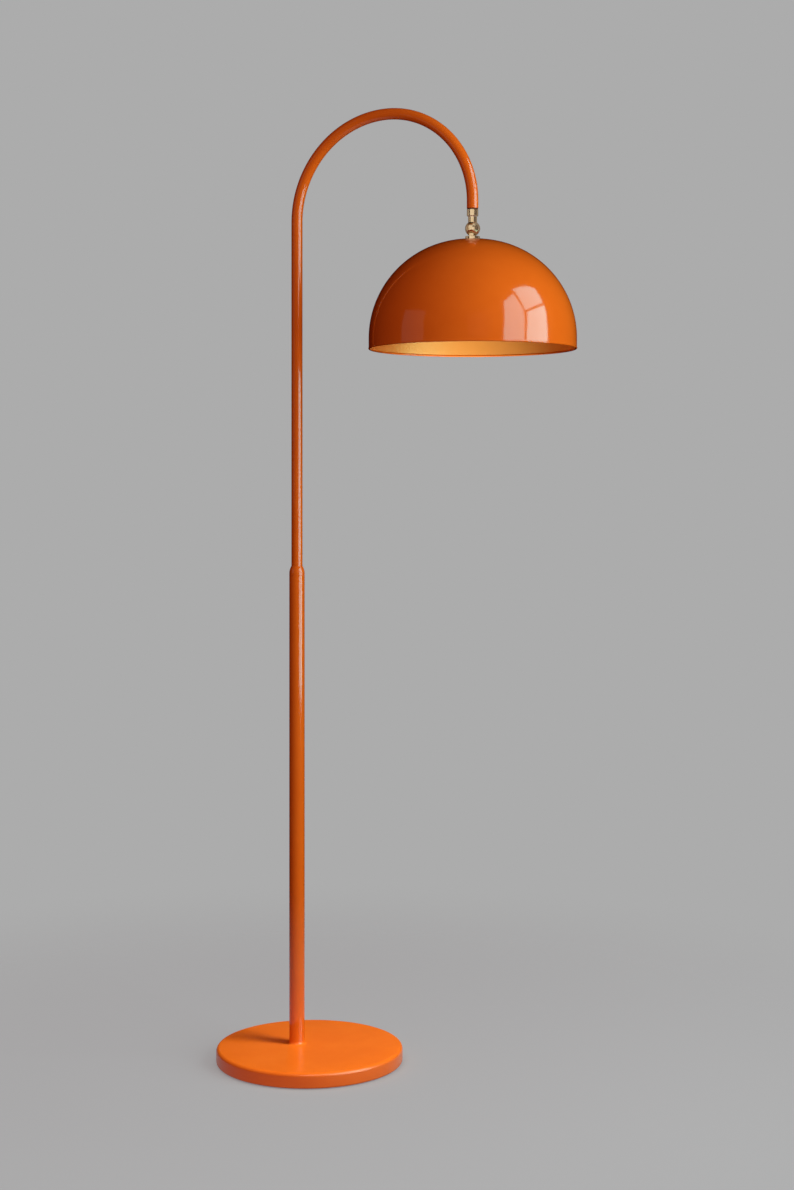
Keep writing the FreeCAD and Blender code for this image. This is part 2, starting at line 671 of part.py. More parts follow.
def build_shade():
    """The tongue of the swivel, the shade under it and what clamps the shade."""
    collar_low = -sz.ball_radius - sz.seat_gap
    flat_top = collar_low - sz.seat_washer_thick
    holder_top = flat_top - sz.shade_wall - sz.stem_washer_thick - sz.stem_nut_thick
    stem_low = holder_top - sz.stem_end

    tongue = new_body("swivel_tongue", up=hinge_height, **at_shade)
    pad(tongue, circles(sketch_on(tongue, "YZ_Plane"), (sz.eye_radius,)), sz.tongue_thick, both_ways=True)
    half_tongue = sz.tongue_thick * HALF
    shank = trace(sketch_on(tongue, "YZ_Plane"), (
        (-sz.stem_radius, collar_low),
        (sz.stem_radius, collar_low),
        (sz.stem_radius, ZERO),
        (-sz.stem_radius, ZERO),
    ))
    pad(tongue, shank, sz.tongue_thick, both_ways=True)
    pad(tongue, circles(sketch_on(tongue, "XY_Plane", lift=collar_low), (sz.stem_radius,)),
        collar_low - stem_low, down=True)
    cut(tongue, circles(sketch_on(tongue, "XY_Plane", lift=stem_low), (sz.pivot_bore,)),
        collar_low - stem_low, onwards=True)
    hole = circles(sketch_on(tongue, "YZ_Plane"), (sz.screw_radius + sz.running_gap,))
    cut(tongue, hole, sz.tongue_thick + half_tongue, both_ways=True)

    bore = sz.stem_radius + sz.seat_gap
    washer = new_body("seat_washer", up=hinge_height + collar_low, **at_shade)
    soft = sz.seat_washer_radius - sz.seat_washer_round
    spin(washer, (
        (bore, -sz.seat_washer_thick),
        (sz.seat_washer_radius, -sz.seat_washer_thick),
        (sz.seat_washer_radius, -sz.seat_washer_round, sz.seat_washer_round, 1),
        (soft, ZERO),
        (bore, ZERO),
    ))

    dome = new_body("shade_dome", up=hinge_height + flat_top, **at_shade)
    shoulder = sz.shade_radius - sz.shade_inset
    crown = shoulder + sz.shade_ease
    drop = (sz.shade_ease * sz.shade_ease - sz.shade_inset * sz.shade_inset).root()
    crown_in = crown - sz.shade_wall
    shoulder_in = shoulder - sz.shade_wall
    across_share = sz.shade_inset / sz.shade_ease
    up_share = drop / sz.shade_ease
    crown_centre = -(crown * crown - sz.shade_flat * sz.shade_flat).root()
    flat_in = (crown_in * crown_in - (crown_centre + sz.shade_wall) * (crown_centre + sz.shade_wall)).root()
    skirt_top = crown_centre + drop
    rim = skirt_top - sz.shade_skirt
    wall_in = sz.shade_radius - sz.shade_wall
    hem_out = sz.shade_radius + sz.hem_proud
    hem_in = hem_out - sz.hem_thick
    hem_top = rim + sz.hem_height
    spin(dome, (
        (bore, -sz.shade_wall),
        (bore, ZERO),
        (sz.shade_flat, ZERO, crown, -1),
        (crown * across_share, crown_centre + crown * up_share, shoulder, -1),
        (sz.shade_radius, skirt_top),
        (sz.shade_radius, hem_top),
        (hem_out, hem_top - sz.hem_proud),
        (hem_out, rim + sz.hem_edge),
        (hem_out - sz.hem_edge, rim),
        (hem_in + sz.hem_edge, rim),
        (hem_in, rim + sz.hem_edge),
        (hem_in, hem_top - sz.hem_edge),
        (hem_in + sz.hem_edge, hem_top),
        (wall_in, hem_top),
        (wall_in, skirt_top, shoulder_in, 1),
        (crown_in * across_share, crown_centre + crown_in * up_share, crown_in, 1),
        (flat_in, -sz.shade_wall),
    ))

    washer_low = hinge_height + flat_top - sz.shade_wall - sz.stem_washer_thick
    ring("stem_washer", sz.stem_washer_radius, bore, sz.stem_washer_thick, up=washer_low, **at_shade)
    hex_nut("stem_nut", sz.stem_nut_corner, sz.stem_radius + sz.running_gap, sz.stem_nut_thick,
            up=washer_low - sz.stem_nut_thick, **at_shade)
    return hinge_height + holder_top


def build_holder(top):
    """The lampholder, from its cap on the stem down to the mouth; returns its contact's height."""
    cap = new_body("holder_cap", up=top, **at_shade)
    bore = sz.stem_radius + sz.running_gap
    cap_in = sz.cap_radius - sz.cap_wall
    boss = bore + sz.cap_wall + sz.cap_wall
    block_low = -sz.cap_height - sz.sleeve_wall
    block_top = block_low + sz.block_height
    boss_low = block_top + (sz.core_radius + sz.running_gap) * 2 + sz.seat_gap
    spin(cap, (
        (bore, ZERO),
        (sz.cap_crown, ZERO),
        (sz.cap_radius, -sz.cap_slope),
        (sz.cap_radius, -sz.cap_height),
        (cap_in, -sz.cap_height),
        (cap_in, -sz.cap_slope - sz.cap_wall * HALF),
        (sz.cap_crown, -sz.cap_wall - sz.cap_wall * HALF),
        (boss, -sz.cap_wall - sz.cap_wall * HALF),
        (boss, boss_low),
        (bore, boss_low),
    ))

    sleeve = new_body("holder_sleeve", up=top - sz.cap_height - sz.seat_gap, **at_shade)
    spigot_out = cap_in - sz.running_gap
    spigot_in = spigot_out - sz.cap_wall
    sleeve_in = sz.sleeve_radius - sz.sleeve_wall
    spin(sleeve, (
        (spigot_in, sz.sleeve_spigot),
        (spigot_out, sz.sleeve_spigot),
        (spigot_out, ZERO),
        (sz.sleeve_radius, ZERO),
        (sz.sleeve_radius, sz.edge_break * 2 - sz.sleeve_length),
        (sz.sleeve_radius - sz.edge_break * 2, -sz.sleeve_length),
        (sz.sleeve_mouth, -sz.sleeve_length),
        (sz.sleeve_mouth, sz.mouth_thick - sz.sleeve_length),
        (sleeve_in, sz.mouth_thick * 2 - sz.sleeve_length),
        (sleeve_in, -sz.sleeve_wall * 3),
        (spigot_in, -sz.sleeve_wall),
    ))

    block_out = spigot_in - sz.running_gap
    ring("contact_block", block_out, sz.terminal_radius, sz.block_height, up=top + block_low, **at_shade)
    ring("holder_liner", sz.shell_radius, sz.shell_radius - sz.shell_wall, sz.shell_length,
         up=top + block_low - sz.shell_length, **at_shade)

    contact = new_body("centre_contact", up=top + block_low, **at_shade)
    strip = trace(sketch_on(contact, "XZ_Plane"), (
        (-sz.contact_reach, ZERO),
        (-sz.contact_reach, -sz.contact_thick),
        (-sz.contact_reach * HALF, -sz.contact_thick),
        (-sz.contact_width * HALF, -sz.contact_drop),
        (sz.contact_width * HALF, -sz.contact_drop),
        (sz.contact_width * HALF, sz.contact_thick - sz.contact_drop),
        (sz.contact_thick - sz.contact_width * HALF, sz.contact_thick - sz.contact_drop),
        (sz.contact_thick - sz.contact_reach * HALF, ZERO),
    ))
    pad(contact, strip, sz.contact_width, both_ways=True)

    pair = doc.addObject("Part::Compound", "terminal_screw_pair")
    heads = []
    for side, sign in (("left", -1), ("right", 1)):
        head = doc.addObject("Part::Cylinder", f"terminal_screw_{side}")
        bind(head, "Radius", sz.terminal_radius)
        bind(head, "Height", sz.terminal_height)
        bind(head, "Placement.Base.x", sz.terminal_reach * sign)
        heads.append(head)
    pair.Links = heads
    place(pair, up=top + block_top, **at_shade)
    keep(pair, "terminal_screws")

    core_height = sz.core_radius + sz.running_gap
    core_top = -block_top - sz.stem_end + sz.core_bend
    touch = sz.terminal_reach - sz.terminal_radius - sz.running_gap
    cores = []
    for sign in (-1, 1):
        start = Vector(sign * sz.core_spread.value, 0, core_top.value)
        down = Vector(start.x, 0, core_height.value + sz.core_bend.value)
        slant = sz.core_bend.value * (1 - math.sqrt(HALF))
        crest = Vector(start.x + sign * slant, 0, core_height.value + slant)
        along = Vector(start.x + sign * sz.core_bend.value, 0, core_height.value)
        end = Vector(sign * touch.value, 0, core_height.value)
        path = Part.Wire([
            Part.LineSegment(start, down).toShape(),
            Part.Arc(down, crest, along).toShape(),
            Part.LineSegment(along, end).toShape(),
        ])
        section = Part.Wire(Part.Circle(start, Vector(0, 0, 1), sz.core_radius.value).toShape())
        cores.append(path.makePipeShell([section], True, False))
    leads = doc.addObject("Part::Feature", "holder_cores_shape")
    leads.Shape = Part.makeCompound(cores)
    place(leads, up=top + block_top, **at_shade)
    keep(leads, "holder_cores")
    return top + block_low - sz.contact_drop


def build_bulb(top):
    """The lamp bulb in the holder, from its centre contact down."""
    tip = new_body("bulb_contact", up=top, **at_shade)
    spin(tip, (
        (ZERO, ZERO),
        (sz.tip_radius - sz.edge_break, ZERO),
        (sz.tip_radius, -sz.edge_break),
        (sz.tip_radius, -sz.tip_thick),
        (ZERO, -sz.tip_thick),
    ))
    insulator = new_body("bulb_insulator", up=top - sz.tip_thick, **at_shade)
    spin(insulator, (
        (ZERO, ZERO),
        (sz.tip_radius + sz.edge_break, ZERO),
        (sz.glass_base_radius, -sz.glass_base_height),
        (ZERO, -sz.glass_base_height),
    ))

    cap_top = top - sz.tip_thick - sz.glass_base_height
    cap = new_body("bulb_cap", up=cap_top, **at_shade)
    inner = sz.cap_shell_radius - sz.thread_depth - sz.cap_shell_wall
    spin(cap, (
        (ZERO, ZERO),
        (sz.glass_base_radius, ZERO),
        (sz.cap_shell_radius, -sz.edge_break - sz.thread_depth),
        (sz.cap_shell_radius, -sz.cap_shell_length),
        (inner, -sz.cap_shell_length),
        (inner, -sz.thread_pitch),
        (ZERO, -sz.thread_pitch),
    ))
    doc.recompute()
    half_pitch = sz.thread_pitch * HALF
    first = -sz.thread_pitch
    groove = spin(cap, (
        (sz.cap_shell_radius + sz.thread_depth, first),
        (sz.cap_shell_radius - sz.thread_depth, first - half_pitch),
        (sz.cap_shell_radius + sz.thread_depth, first - sz.thread_pitch),
    ), kind="Groove")
    doc.recompute()
    turns = cap.newObject("PartDesign::LinearPattern", "bulb_cap_thread")
    turns.Originals = [groove]
    turns.Direction = (groove.Profile[0], ["V_Axis"])
    turns.Reversed = True
    turns.Mode = "Spacing"
    bind(turns, "Offset", sz.thread_pitch)
    turns.Occurrences = THREAD_TURNS
    cap.Tip = turns

    glass_top = cap_top - sz.cap_shell_length
    globe = sz.bulb_length - sz.tip_thick - sz.glass_base_height - sz.cap_shell_length - sz.bulb_radius
    glass = new_body("bulb_glass", up=glass_top, **at_shade)
    fall = globe - sz.bulb_collar
    flare = (sz.bulb_neck * sz.bulb_neck + fall * fall - sz.bulb_radius * sz.bulb_radius)
    flare = flare / ((sz.bulb_radius - sz.bulb_neck) * 2)
    away = sz.bulb_neck + flare
    link = flare + sz.bulb_radius
    join_across = sz.bulb_radius * away / link
    join_up = sz.bulb_radius * fall / link - globe
    inner_neck = sz.bulb_neck - sz.bulb_wall
    inner_globe = sz.bulb_radius - sz.bulb_wall
    inner_across = inner_globe * away / link
    inner_up = inner_globe * fall / link - globe
    spin(glass, (
        (inner_neck, ZERO),
        (sz.bulb_neck, ZERO),
        (sz.bulb_neck, -sz.bulb_collar, flare, -1),
        (join_across, join_up, sz.bulb_radius, 1),
        (sz.bulb_radius, -globe, sz.bulb_radius, 1),
        (ZERO, -globe - sz.bulb_radius),
        (ZERO, -globe - inner_globe, inner_globe, -1),
        (inner_globe, -globe, inner_globe, -1),
        (inner_across, inner_up, flare + sz.bulb_wall, 1),
        (inner_neck, -sz.bulb_collar),
    ))

    mount = new_body("bulb_mount", up=glass_top, **at_shade)
    spin(mount, (
        (ZERO, ZERO),
        (inner_neck - sz.running_gap, ZERO),
        (inner_neck - sz.running_gap, -sz.bulb_wall),
        (sz.mount_radius, -sz.bulb_collar * 2),
        (sz.mount_radius * HALF, -sz.mount_height),
        (ZERO, -sz.mount_height),
    ))

    rods = new_body("bulb_filaments", up=glass_top, **at_shade)
    rod_top = -sz.mount_height - sz.filament_radius
    pad(rods, circles(sketch_on(rods, "XY_Plane", lift=rod_top), (sz.mount_radius * HALF,)),
        sz.filament_radius * 2, both_ways=True)
    arm = trace(sketch_on(rods, "XY_Plane", lift=rod_top), (
        (ZERO, -sz.filament_radius),
        (sz.filament_spread, -sz.filament_radius),
        (sz.filament_spread, sz.filament_radius),
        (ZERO, sz.filament_radius),
    ))
    spoke = pad(rods, arm, sz.filament_radius * 2, both_ways=True)
    stick = circles(sketch_on(rods, "XY_Plane", lift=rod_top + sz.filament_radius), (sz.filament_radius,),
                    across=sz.filament_spread)
    rod = pad(rods, stick, sz.filament_length, down=True)
    doc.recompute()
    round_axis = [item for item in rods.Origin.OriginFeatures if item.Role == "Z_Axis"][0]
    spread = rods.newObject("PartDesign::PolarPattern", "bulb_filaments_pattern")
    spread.Originals = [spoke, rod]
    spread.Axis = (round_axis, [""])
    spread.Angle = FULL_TURN
    spread.Occurrences = FILAMENTS
    rods.Tip = spread


def check_document():
    """Stops if any object failed or any sub-part has no sound shape."""
    for item in doc.Objects:
        if "Invalid" in item.State or "Error" in item.State:
            raise RuntimeError(f"{item.Name} failed: {item.State}")
    for label, item in nodes.items():
        if item.Shape.isNull() or not item.Shape.isValid() or not item.Shape.Solids:
            raise RuntimeError(f"{label} has no valid solid")


def export_parts():
    """Writes each sub-part to a file named after its node."""
    os.makedirs("parts", exist_ok=True)
    for label, item in nodes.items():
        item.Shape.exportStep(f"parts/{label}.step")


build_base()
build_pole()
build_arm()
build_swivel()
build_bulb(build_holder(build_shade()))
doc.recompute()
check_document()
export_parts()
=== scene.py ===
"""The looks of an arc floor lamp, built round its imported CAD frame.

Sizes are in millimetres until a helper turns them into metres. Every piece stands
where the frame has the node that it replaces, and rides on that node's body.
"""

import json
import logging
import math
from collections.abc import Callable, Sequence
from dataclasses import dataclass, replace
from enum import Enum
from typing import ClassVar, NamedTuple

import bpy
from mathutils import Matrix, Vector

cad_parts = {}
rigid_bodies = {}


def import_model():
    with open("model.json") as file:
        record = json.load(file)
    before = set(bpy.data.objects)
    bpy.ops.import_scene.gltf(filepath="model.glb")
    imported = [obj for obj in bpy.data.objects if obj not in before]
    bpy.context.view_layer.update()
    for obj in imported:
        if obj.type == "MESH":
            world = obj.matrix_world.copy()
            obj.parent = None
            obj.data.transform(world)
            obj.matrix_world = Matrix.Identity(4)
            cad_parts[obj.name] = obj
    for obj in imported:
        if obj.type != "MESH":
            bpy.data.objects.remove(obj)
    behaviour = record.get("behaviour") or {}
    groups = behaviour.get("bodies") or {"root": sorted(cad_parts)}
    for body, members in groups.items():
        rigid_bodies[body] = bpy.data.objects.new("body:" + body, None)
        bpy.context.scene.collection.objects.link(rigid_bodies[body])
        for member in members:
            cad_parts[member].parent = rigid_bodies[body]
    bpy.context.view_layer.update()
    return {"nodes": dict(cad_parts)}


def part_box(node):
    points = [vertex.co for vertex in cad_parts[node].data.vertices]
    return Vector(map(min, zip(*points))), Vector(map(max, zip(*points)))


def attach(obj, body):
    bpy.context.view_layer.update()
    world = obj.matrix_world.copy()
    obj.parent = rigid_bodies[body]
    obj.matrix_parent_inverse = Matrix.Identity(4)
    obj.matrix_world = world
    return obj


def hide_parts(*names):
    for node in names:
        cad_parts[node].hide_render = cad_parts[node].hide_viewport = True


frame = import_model()

Piece = bpy.types.Object
Socket = bpy.types.NodeSocket
Span = tuple[float, float]
Place = tuple[float, float, float]
Outline = Sequence[tuple[float, ...]]

LOG = logging.getLogger("floor_lamp")
FLOOR = "studio_floor"
MM = 0.001
MICRON = 0.000001
QUARTER = math.radians(90)
UPRIGHT = (0.0, 0.0, 0.0)
ACROSS = (0.0, QUARTER, 0.0)
SMOOTH_BELOW = math.radians(32)
SHARP_ABOVE = math.radians(50)
FINEST_MERGE = 2e-5


class Body(Enum):
    """The moving groups of the lamp that this script dresses."""

    BASE = "base"
    ARM = "arm"
    SWIVEL = "swivel"
    SHADE = "shade"


class Cut(Enum):
    """How a tool body changes a piece."""

    AWAY = "DIFFERENCE"
    ONTO = "UNION"
    WITHIN = "INTERSECT"


class Relief(Enum):
    """What the making of a surface leaves on it."""

    SPRAYED = "soft orange peel of sprayed and baked enamel"
    SPUN = "rings of the roller on spun sheet"
    TURNED = "fine lines of the lathe tool under the polish"
    MOULDED = "spark-eroded grain of the mould"
    CAST = "sand grain"
    CELLS = "closed foam cells"
    PLATED = "cloudy crystals of plating"
    SMOOTH = "fired or drawn skin"


# ---------------------------------------------------------------- finishes


def linear(hex_colour: str) -> tuple[float, float, float, float]:
    """Turns an sRGB hex colour into a linear one.

    Args:
        hex_colour: six hex digits.

    Returns:
        Red, green, blue and alpha, linear.
    """
    parts = [int(hex_colour[place:place + 2], 16) / 255 for place in (0, 2, 4)]
    red, green, blue = (c / 12.92 if c <= 0.04045 else ((c + 0.055) / 1.055) ** 2.4 for c in parts)
    return red, green, blue, 1.0


class Graph:
    """The nodes of one material, or of the world."""

    def __init__(self, owner: bpy.types.Material | bpy.types.World) -> None:
        """Empties the owner's node tree.

        Args:
            owner: what the nodes belong to.
        """
        owner.use_nodes = True
        self.tree = owner.node_tree
        self.tree.nodes.clear()

    def add(self, kind: str, settings: dict | None = None,
            inputs: dict | None = None) -> Sequence[Socket]:
        """Adds a node, sets it and links it.

        Args:
            kind: its type, without the ShaderNode prefix.
            settings: attributes to set.
            inputs: socket names or numbers, each with a value or an output to link.

        Returns:
            Its outputs.
        """
        node = self.tree.nodes.new("ShaderNode" + kind)
        for name, value in (settings or {}).items():
            setattr(node, name, value)
        for name, value in (inputs or {}).items():
            if isinstance(value, Socket):
                self.tree.links.new(value, node.inputs[name])
            else:
                node.inputs[name].default_value = value
        return node.outputs

    def noise(self, place: Socket, size: float, detail: float, rough: float = 0.5) -> Socket:
        """Adds noise.

        Args:
            place: coordinates.
            size: size of its largest bumps, mm.
            detail: octaves of finer ones.
            rough: weight of those.

        Returns:
            Its output.
        """
        return self.add("TexNoise", inputs={
            "Vector": place, "Scale": 1 / (size * MM), "Detail": detail, "Roughness": rough,
        })[0]

    def ramp(self, value: Socket, ends: Span, onto: Span = (0.0, 1.0),
             curve: str = "LINEAR") -> Socket:
        """Maps one range of values onto another.

        Args:
            value: what is mapped.
            ends: where the first range starts and ends.
            onto: where the second one does.
            curve: how the values run between the ends.

        Returns:
            The output.
        """
        return self.add("MapRange", {"interpolation_type": curve}, {
            "Value": value, "From Min": ends[0], "From Max": ends[1], "To Min": onto[0],
            "To Max": onto[1],
        })[0]

    def glow(self, colour: Place, strength: Socket | float) -> None:
        """Makes the surface glow.

        Args:
            colour: its colour, linear.
            strength: its radiance.
        """
        shine = self.add("Emission", inputs={"Color": (*colour, 1.0), "Strength": strength})[0]
        self.add("OutputMaterial", inputs={"Surface": shine})


@dataclass(frozen=True)
class Finish:
    """One real material and the way its surface was made.

    Attributes:
        name: the material's common name.
        relief: what its making leaves on the surface.
        colour: sRGB hex colour.
        shade: a second hex colour that it drifts towards in patches.
        roughness: middle roughness.
        metallic: 1 for a bare metal.
        ior: index of refraction, left at its default for metals.
        gloss: specular level of the layer under any coat.
        coat: weight of a clear coat.
        coat_roughness: roughness of that coat.
        glow: share of light that passes under the skin.
        clear: share of light that passes straight through.
        grain: size of the relief's bumps or lines, mm.
        depth: height of the relief, microns.
        patch: size of the colour's patches, mm.
        centre: place of the axis that rings or lines run round, mm.
        slot: the record's material slot, where it isn't the name. Not used.
    """

    WIPED: ClassVar[float] = 0.4
    UNEVEN: ClassVar[Span] = (0.88, 1.12)
    STRETCH: ClassVar[Place] = (0.12, 0.12, 1.0)
    DETAIL: ClassVar[dict[Relief, float]] = {
        Relief.TURNED: 3.0, Relief.CAST: 5.0, Relief.MOULDED: 2.0, Relief.PLATED: 3.0,
        Relief.SPRAYED: 0.5, Relief.SMOOTH: 0.5,
    }

    name: str
    relief: Relief
    colour: str
    shade: str
    roughness: float
    metallic: float = 0.0
    ior: float = 1.5
    gloss: float = 0.5
    coat: float = 0.0
    coat_roughness: float = 0.05
    glow: float = 0.0
    clear: float = 0.0
    grain: float = 1.0
    depth: float = 5.0
    patch: float = 30.0
    centre: Span = (0.0, 0.0)
    slot: str = ""

    def material(self) -> bpy.types.Material:
        """The finished material, made once."""
        known = bpy.data.materials.get(self.name)
        if known:
            return known
        made = bpy.data.materials.new(self.name)
        graph = Graph(made)
        place = graph.add("Mapping", inputs={
            "Vector": graph.add("TexCoord")["Object"],
            "Location": (-self.centre[0] * MM, -self.centre[1] * MM, 0.0),
        })["Vector"]
        drift = graph.ramp(graph.noise(place, self.patch, 3.0, 0.55), (0.35, 0.65))
        wiped = graph.noise(place, self.patch * self.WIPED, 4.0, 0.6)
        low, high = (self.roughness * share for share in self.UNEVEN)
        layers = {
            # The colour drifts between its two values in soft patches.
            "Base Color": graph.add("MixRGB", inputs={
                "Fac": drift, "Color1": linear(self.colour), "Color2": linear(self.shade),
            })[0],
            # Handling and wiping leave the roughness a little uneven.
            "Roughness": graph.ramp(wiped, (0.3, 0.7), (low, high)),
            "Normal": self.bumps(graph, place),
            "Metallic": self.metallic,
            "Specular IOR Level": self.gloss,
            "Coat Weight": self.coat,
            "Coat Roughness": self.coat_roughness,
            "Subsurface Weight": self.glow,
            "Subsurface Scale": MM,
            "Transmission Weight": self.clear,
        }
        if not self.metallic:
            layers["IOR"] = self.ior
        surface = graph.add("BsdfPrincipled", inputs=layers)[0]
        graph.add("OutputMaterial", inputs={"Surface": surface})
        return made

    def bumps(self, graph: Graph, place: Socket) -> Socket:
        """The relief that the making leaves.

        Args:
            graph: the material's nodes.
            place: coordinates.

        Returns:
            The normal output.
        """
        often = 1 / (self.grain * MM)
        if self.relief is Relief.SPUN:
            height = graph.add("TexWave", {"wave_type": "RINGS", "rings_direction": "Z"}, {
                "Vector": place, "Scale": often / math.tau * 2, "Distortion": 1.2, "Detail": 2.0,
                "Detail Scale": 0.6,
            })["Fac"]
        elif self.relief is Relief.CELLS:
            height = graph.add("TexVoronoi", inputs={"Vector": place, "Scale": often})[0]
        else:
            if self.relief is Relief.TURNED:
                # Lathe lines run level round an upright axis, so the noise is stretched along them.
                place = graph.add("Mapping", inputs={"Vector": place, "Scale": self.STRETCH})[0]
            height = graph.noise(place, self.grain, self.DETAIL[self.relief])
        return graph.add("Bump", inputs={
            "Height": height, "Distance": self.depth * MICRON, "Strength": 1.0,
        })[0]


SHADE_CENTRE = tuple((sum(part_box("shade_dome"), Vector()) / (2 * MM))[:2])
POLE_CENTRE = tuple((sum(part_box("pole_tube"), Vector()) / (2 * MM))[:2])

# Sprayed and baked enamel on steel: pigment under a clear layer of its own binder, so all
# the gloss is the coat's. Deep colour and a faint orange peel.
ENAMEL_STEEL = Finish("orange_enamel_steel", Relief.SPRAYED, "F17F20", "ED7A1D", 0.5, gloss=0.0,
                      coat=1.0, coat_roughness=0.09, grain=3.2, depth=2, patch=55)
# The same enamel on the base's cover, where feet and dust have dulled the gloss a little.
COVER_ENAMEL = replace(ENAMEL_STEEL, name="orange_enamel_cover", colour="F07A1E", shade="EC751B",
                       coat_roughness=0.27, slot="orange_enamel_steel")
# The same enamel on the spun aluminium shade.
ENAMEL_ALUMINIUM = replace(ENAMEL_STEEL, name="orange_enamel_aluminium", depth=2.5, patch=70,
                           centre=SHADE_CENTRE)
# Gold lacquer inside the shade: bronze flakes in a satin binder, over the spinning's rings.
GOLD_LACQUER = Finish("gold_lacquer", Relief.SPUN, "F2A64C", "ECA045", 0.38, 0.25, grain=2.4,
                      depth=2, patch=60, centre=SHADE_CENTRE)
# Turned and polished brass, pale under its clear lacquer.
POLISHED_BRASS = Finish("polished_brass", Relief.TURNED, "E0C69D", "D9BD90", 0.2, 0.88, grain=0.5,
                        depth=0.8, patch=9, centre=SHADE_CENTRE)
# Stamped brass sheet, duller than the turned pieces.
STAMPED_BRASS = Finish("stamped_brass", Relief.PLATED, "D2B06A", "C49F58", 0.32, 1.0, grain=1.2,
                       depth=3)
# Grey sand-cast iron, painted thinly.
CAST_IRON = Finish("cast_iron", Relief.CAST, "3A3B3D", "2E2F31", 0.7, grain=1.6, depth=90, patch=14)
# Closed-cell EVA foam under the base: dull, with small cells.
EVA_FOAM = Finish("eva_foam", Relief.CELLS, "2B2B2C", "232324", 0.85, grain=0.9, depth=90, patch=20)
# Black moulded plastic, satin, with the mould's fine grain.
BLACK_PLASTIC = Finish("black_plastic", Relief.MOULDED, "17171A", "1D1D20", 0.42, ior=1.49,
                       grain=0.5, depth=9, patch=12)
# Zinc-plated steel: bluish grey with cloudy plating.
ZINC_STEEL = Finish("zinc_steel", Relief.PLATED, "B9BDC2", "A6ABB1", 0.33, 1.0, grain=1.5, depth=2,
                    patch=5)
# Natural nylon: milky, slightly translucent.
NATURAL_NYLON = Finish("natural_nylon", Relief.MOULDED, "E4E0D2", "DCD7C6", 0.45, ior=1.53,
                       glow=0.3, grain=0.6, depth=5)
# Grey PVC sheath of the inner lead.
LEAD_SHEATH = Finish("lead_sheath", Relief.SMOOTH, "8C8C8A", "848482", 0.5, ior=1.54, grain=2,
                     depth=6)
# Brown insulation of the single cores; on the ring above the brass band it is partly painted shade
# for the gap.
CORE_SHEATH = Finish("core_sheath", Relief.SMOOTH, "6B4028", "5F3822", 0.5, ior=1.54, grain=1.5,
                     depth=5)
# Steatite: fired off-white ceramic with a thin glaze.
STEATITE = Finish("steatite", Relief.SMOOTH, "E9E4D8", "E1DBCD", 0.3, ior=1.6, coat=0.4, grain=2,
                  depth=8)
# Tin solder on the bulb's contact.
SOLDER_TIN = Finish("solder_tin", Relief.PLATED, "B4B4B2", "A2A2A0", 0.4, 1.0, grain=1.2, depth=12,
                    patch=3)
# Dark vitrite glass between the bulb's cap and its contact.
BLACK_GLASS = Finish("black_glass", Relief.SMOOTH, "121214", "17171A", 0.12, ior=1.52, grain=3,
                     depth=8)
# Nickel-plated brass of the bulb's cap.
NICKEL = Finish("nickelled_cap", Relief.PLATED, "C9C6BF", "BBB7AF", 0.24, 1.0, grain=1.5, depth=2,
                patch=6)
# Opal glass: a white flashed skin that carries light sideways.
OPAL_GLASS = Finish("opal_glass", Relief.SMOOTH, "F4F1EA", "EFECE4", 0.22, ior=1.5, coat=0.5,
                    glow=0.5, grain=9, depth=6, patch=40)
# Clear soda glass of the bulb's inner mount.
CLEAR_GLASS = Finish("clear_glass", Relief.SMOOTH, "F7F9F8", "F3F6F5", 0.03, ior=1.52, clear=1.0,
                     grain=6, depth=4)
# Yellow phosphor on the filaments.
FILAMENT = Finish("filament_coating", Relief.SMOOTH, "E7B640", "DFAA35", 0.6, ior=1.5, grain=1,
                  depth=15)

# The finishes that the frame's own materials name.
FINISHES = (ENAMEL_STEEL, ENAMEL_ALUMINIUM, POLISHED_BRASS, STAMPED_BRASS, CAST_IRON, EVA_FOAM,
            BLACK_PLASTIC, ZINC_STEEL, NATURAL_NYLON, LEAD_SHEATH, CORE_SHEATH, STEATITE,
            SOLDER_TIN, BLACK_GLASS, NICKEL, OPAL_GLASS, CLEAR_GLASS, FILAMENT)


# ---------------------------------------------------------------- shaping


class Arc(NamedTuple):
    """An arc of a turned outline, from where the pen is.

    Attributes:
        out: its centre's distance from the axis, mm.
        up: its centre's height, mm.
        sweep: degrees, from outwards to upwards.
    """

    out: float
    up: float
    sweep: float


def begun(kind: str, name: str, **settings: object) -> Piece:
    """Adds a primitive mesh whose origin is the world's.

    Args:
        kind: the primitive, as its operator names it.
        name: the piece's name.
        **settings: its sizes and place.

    Returns:
        The piece, selected alone.
    """
    bpy.ops.object.select_all(action="DESELECT")
    getattr(bpy.ops.mesh, f"primitive_{kind}_add")(**settings)
    piece = bpy.context.object
    piece.name = name
    bpy.ops.object.transform_apply(location=True, rotation=False, scale=False)
    return piece


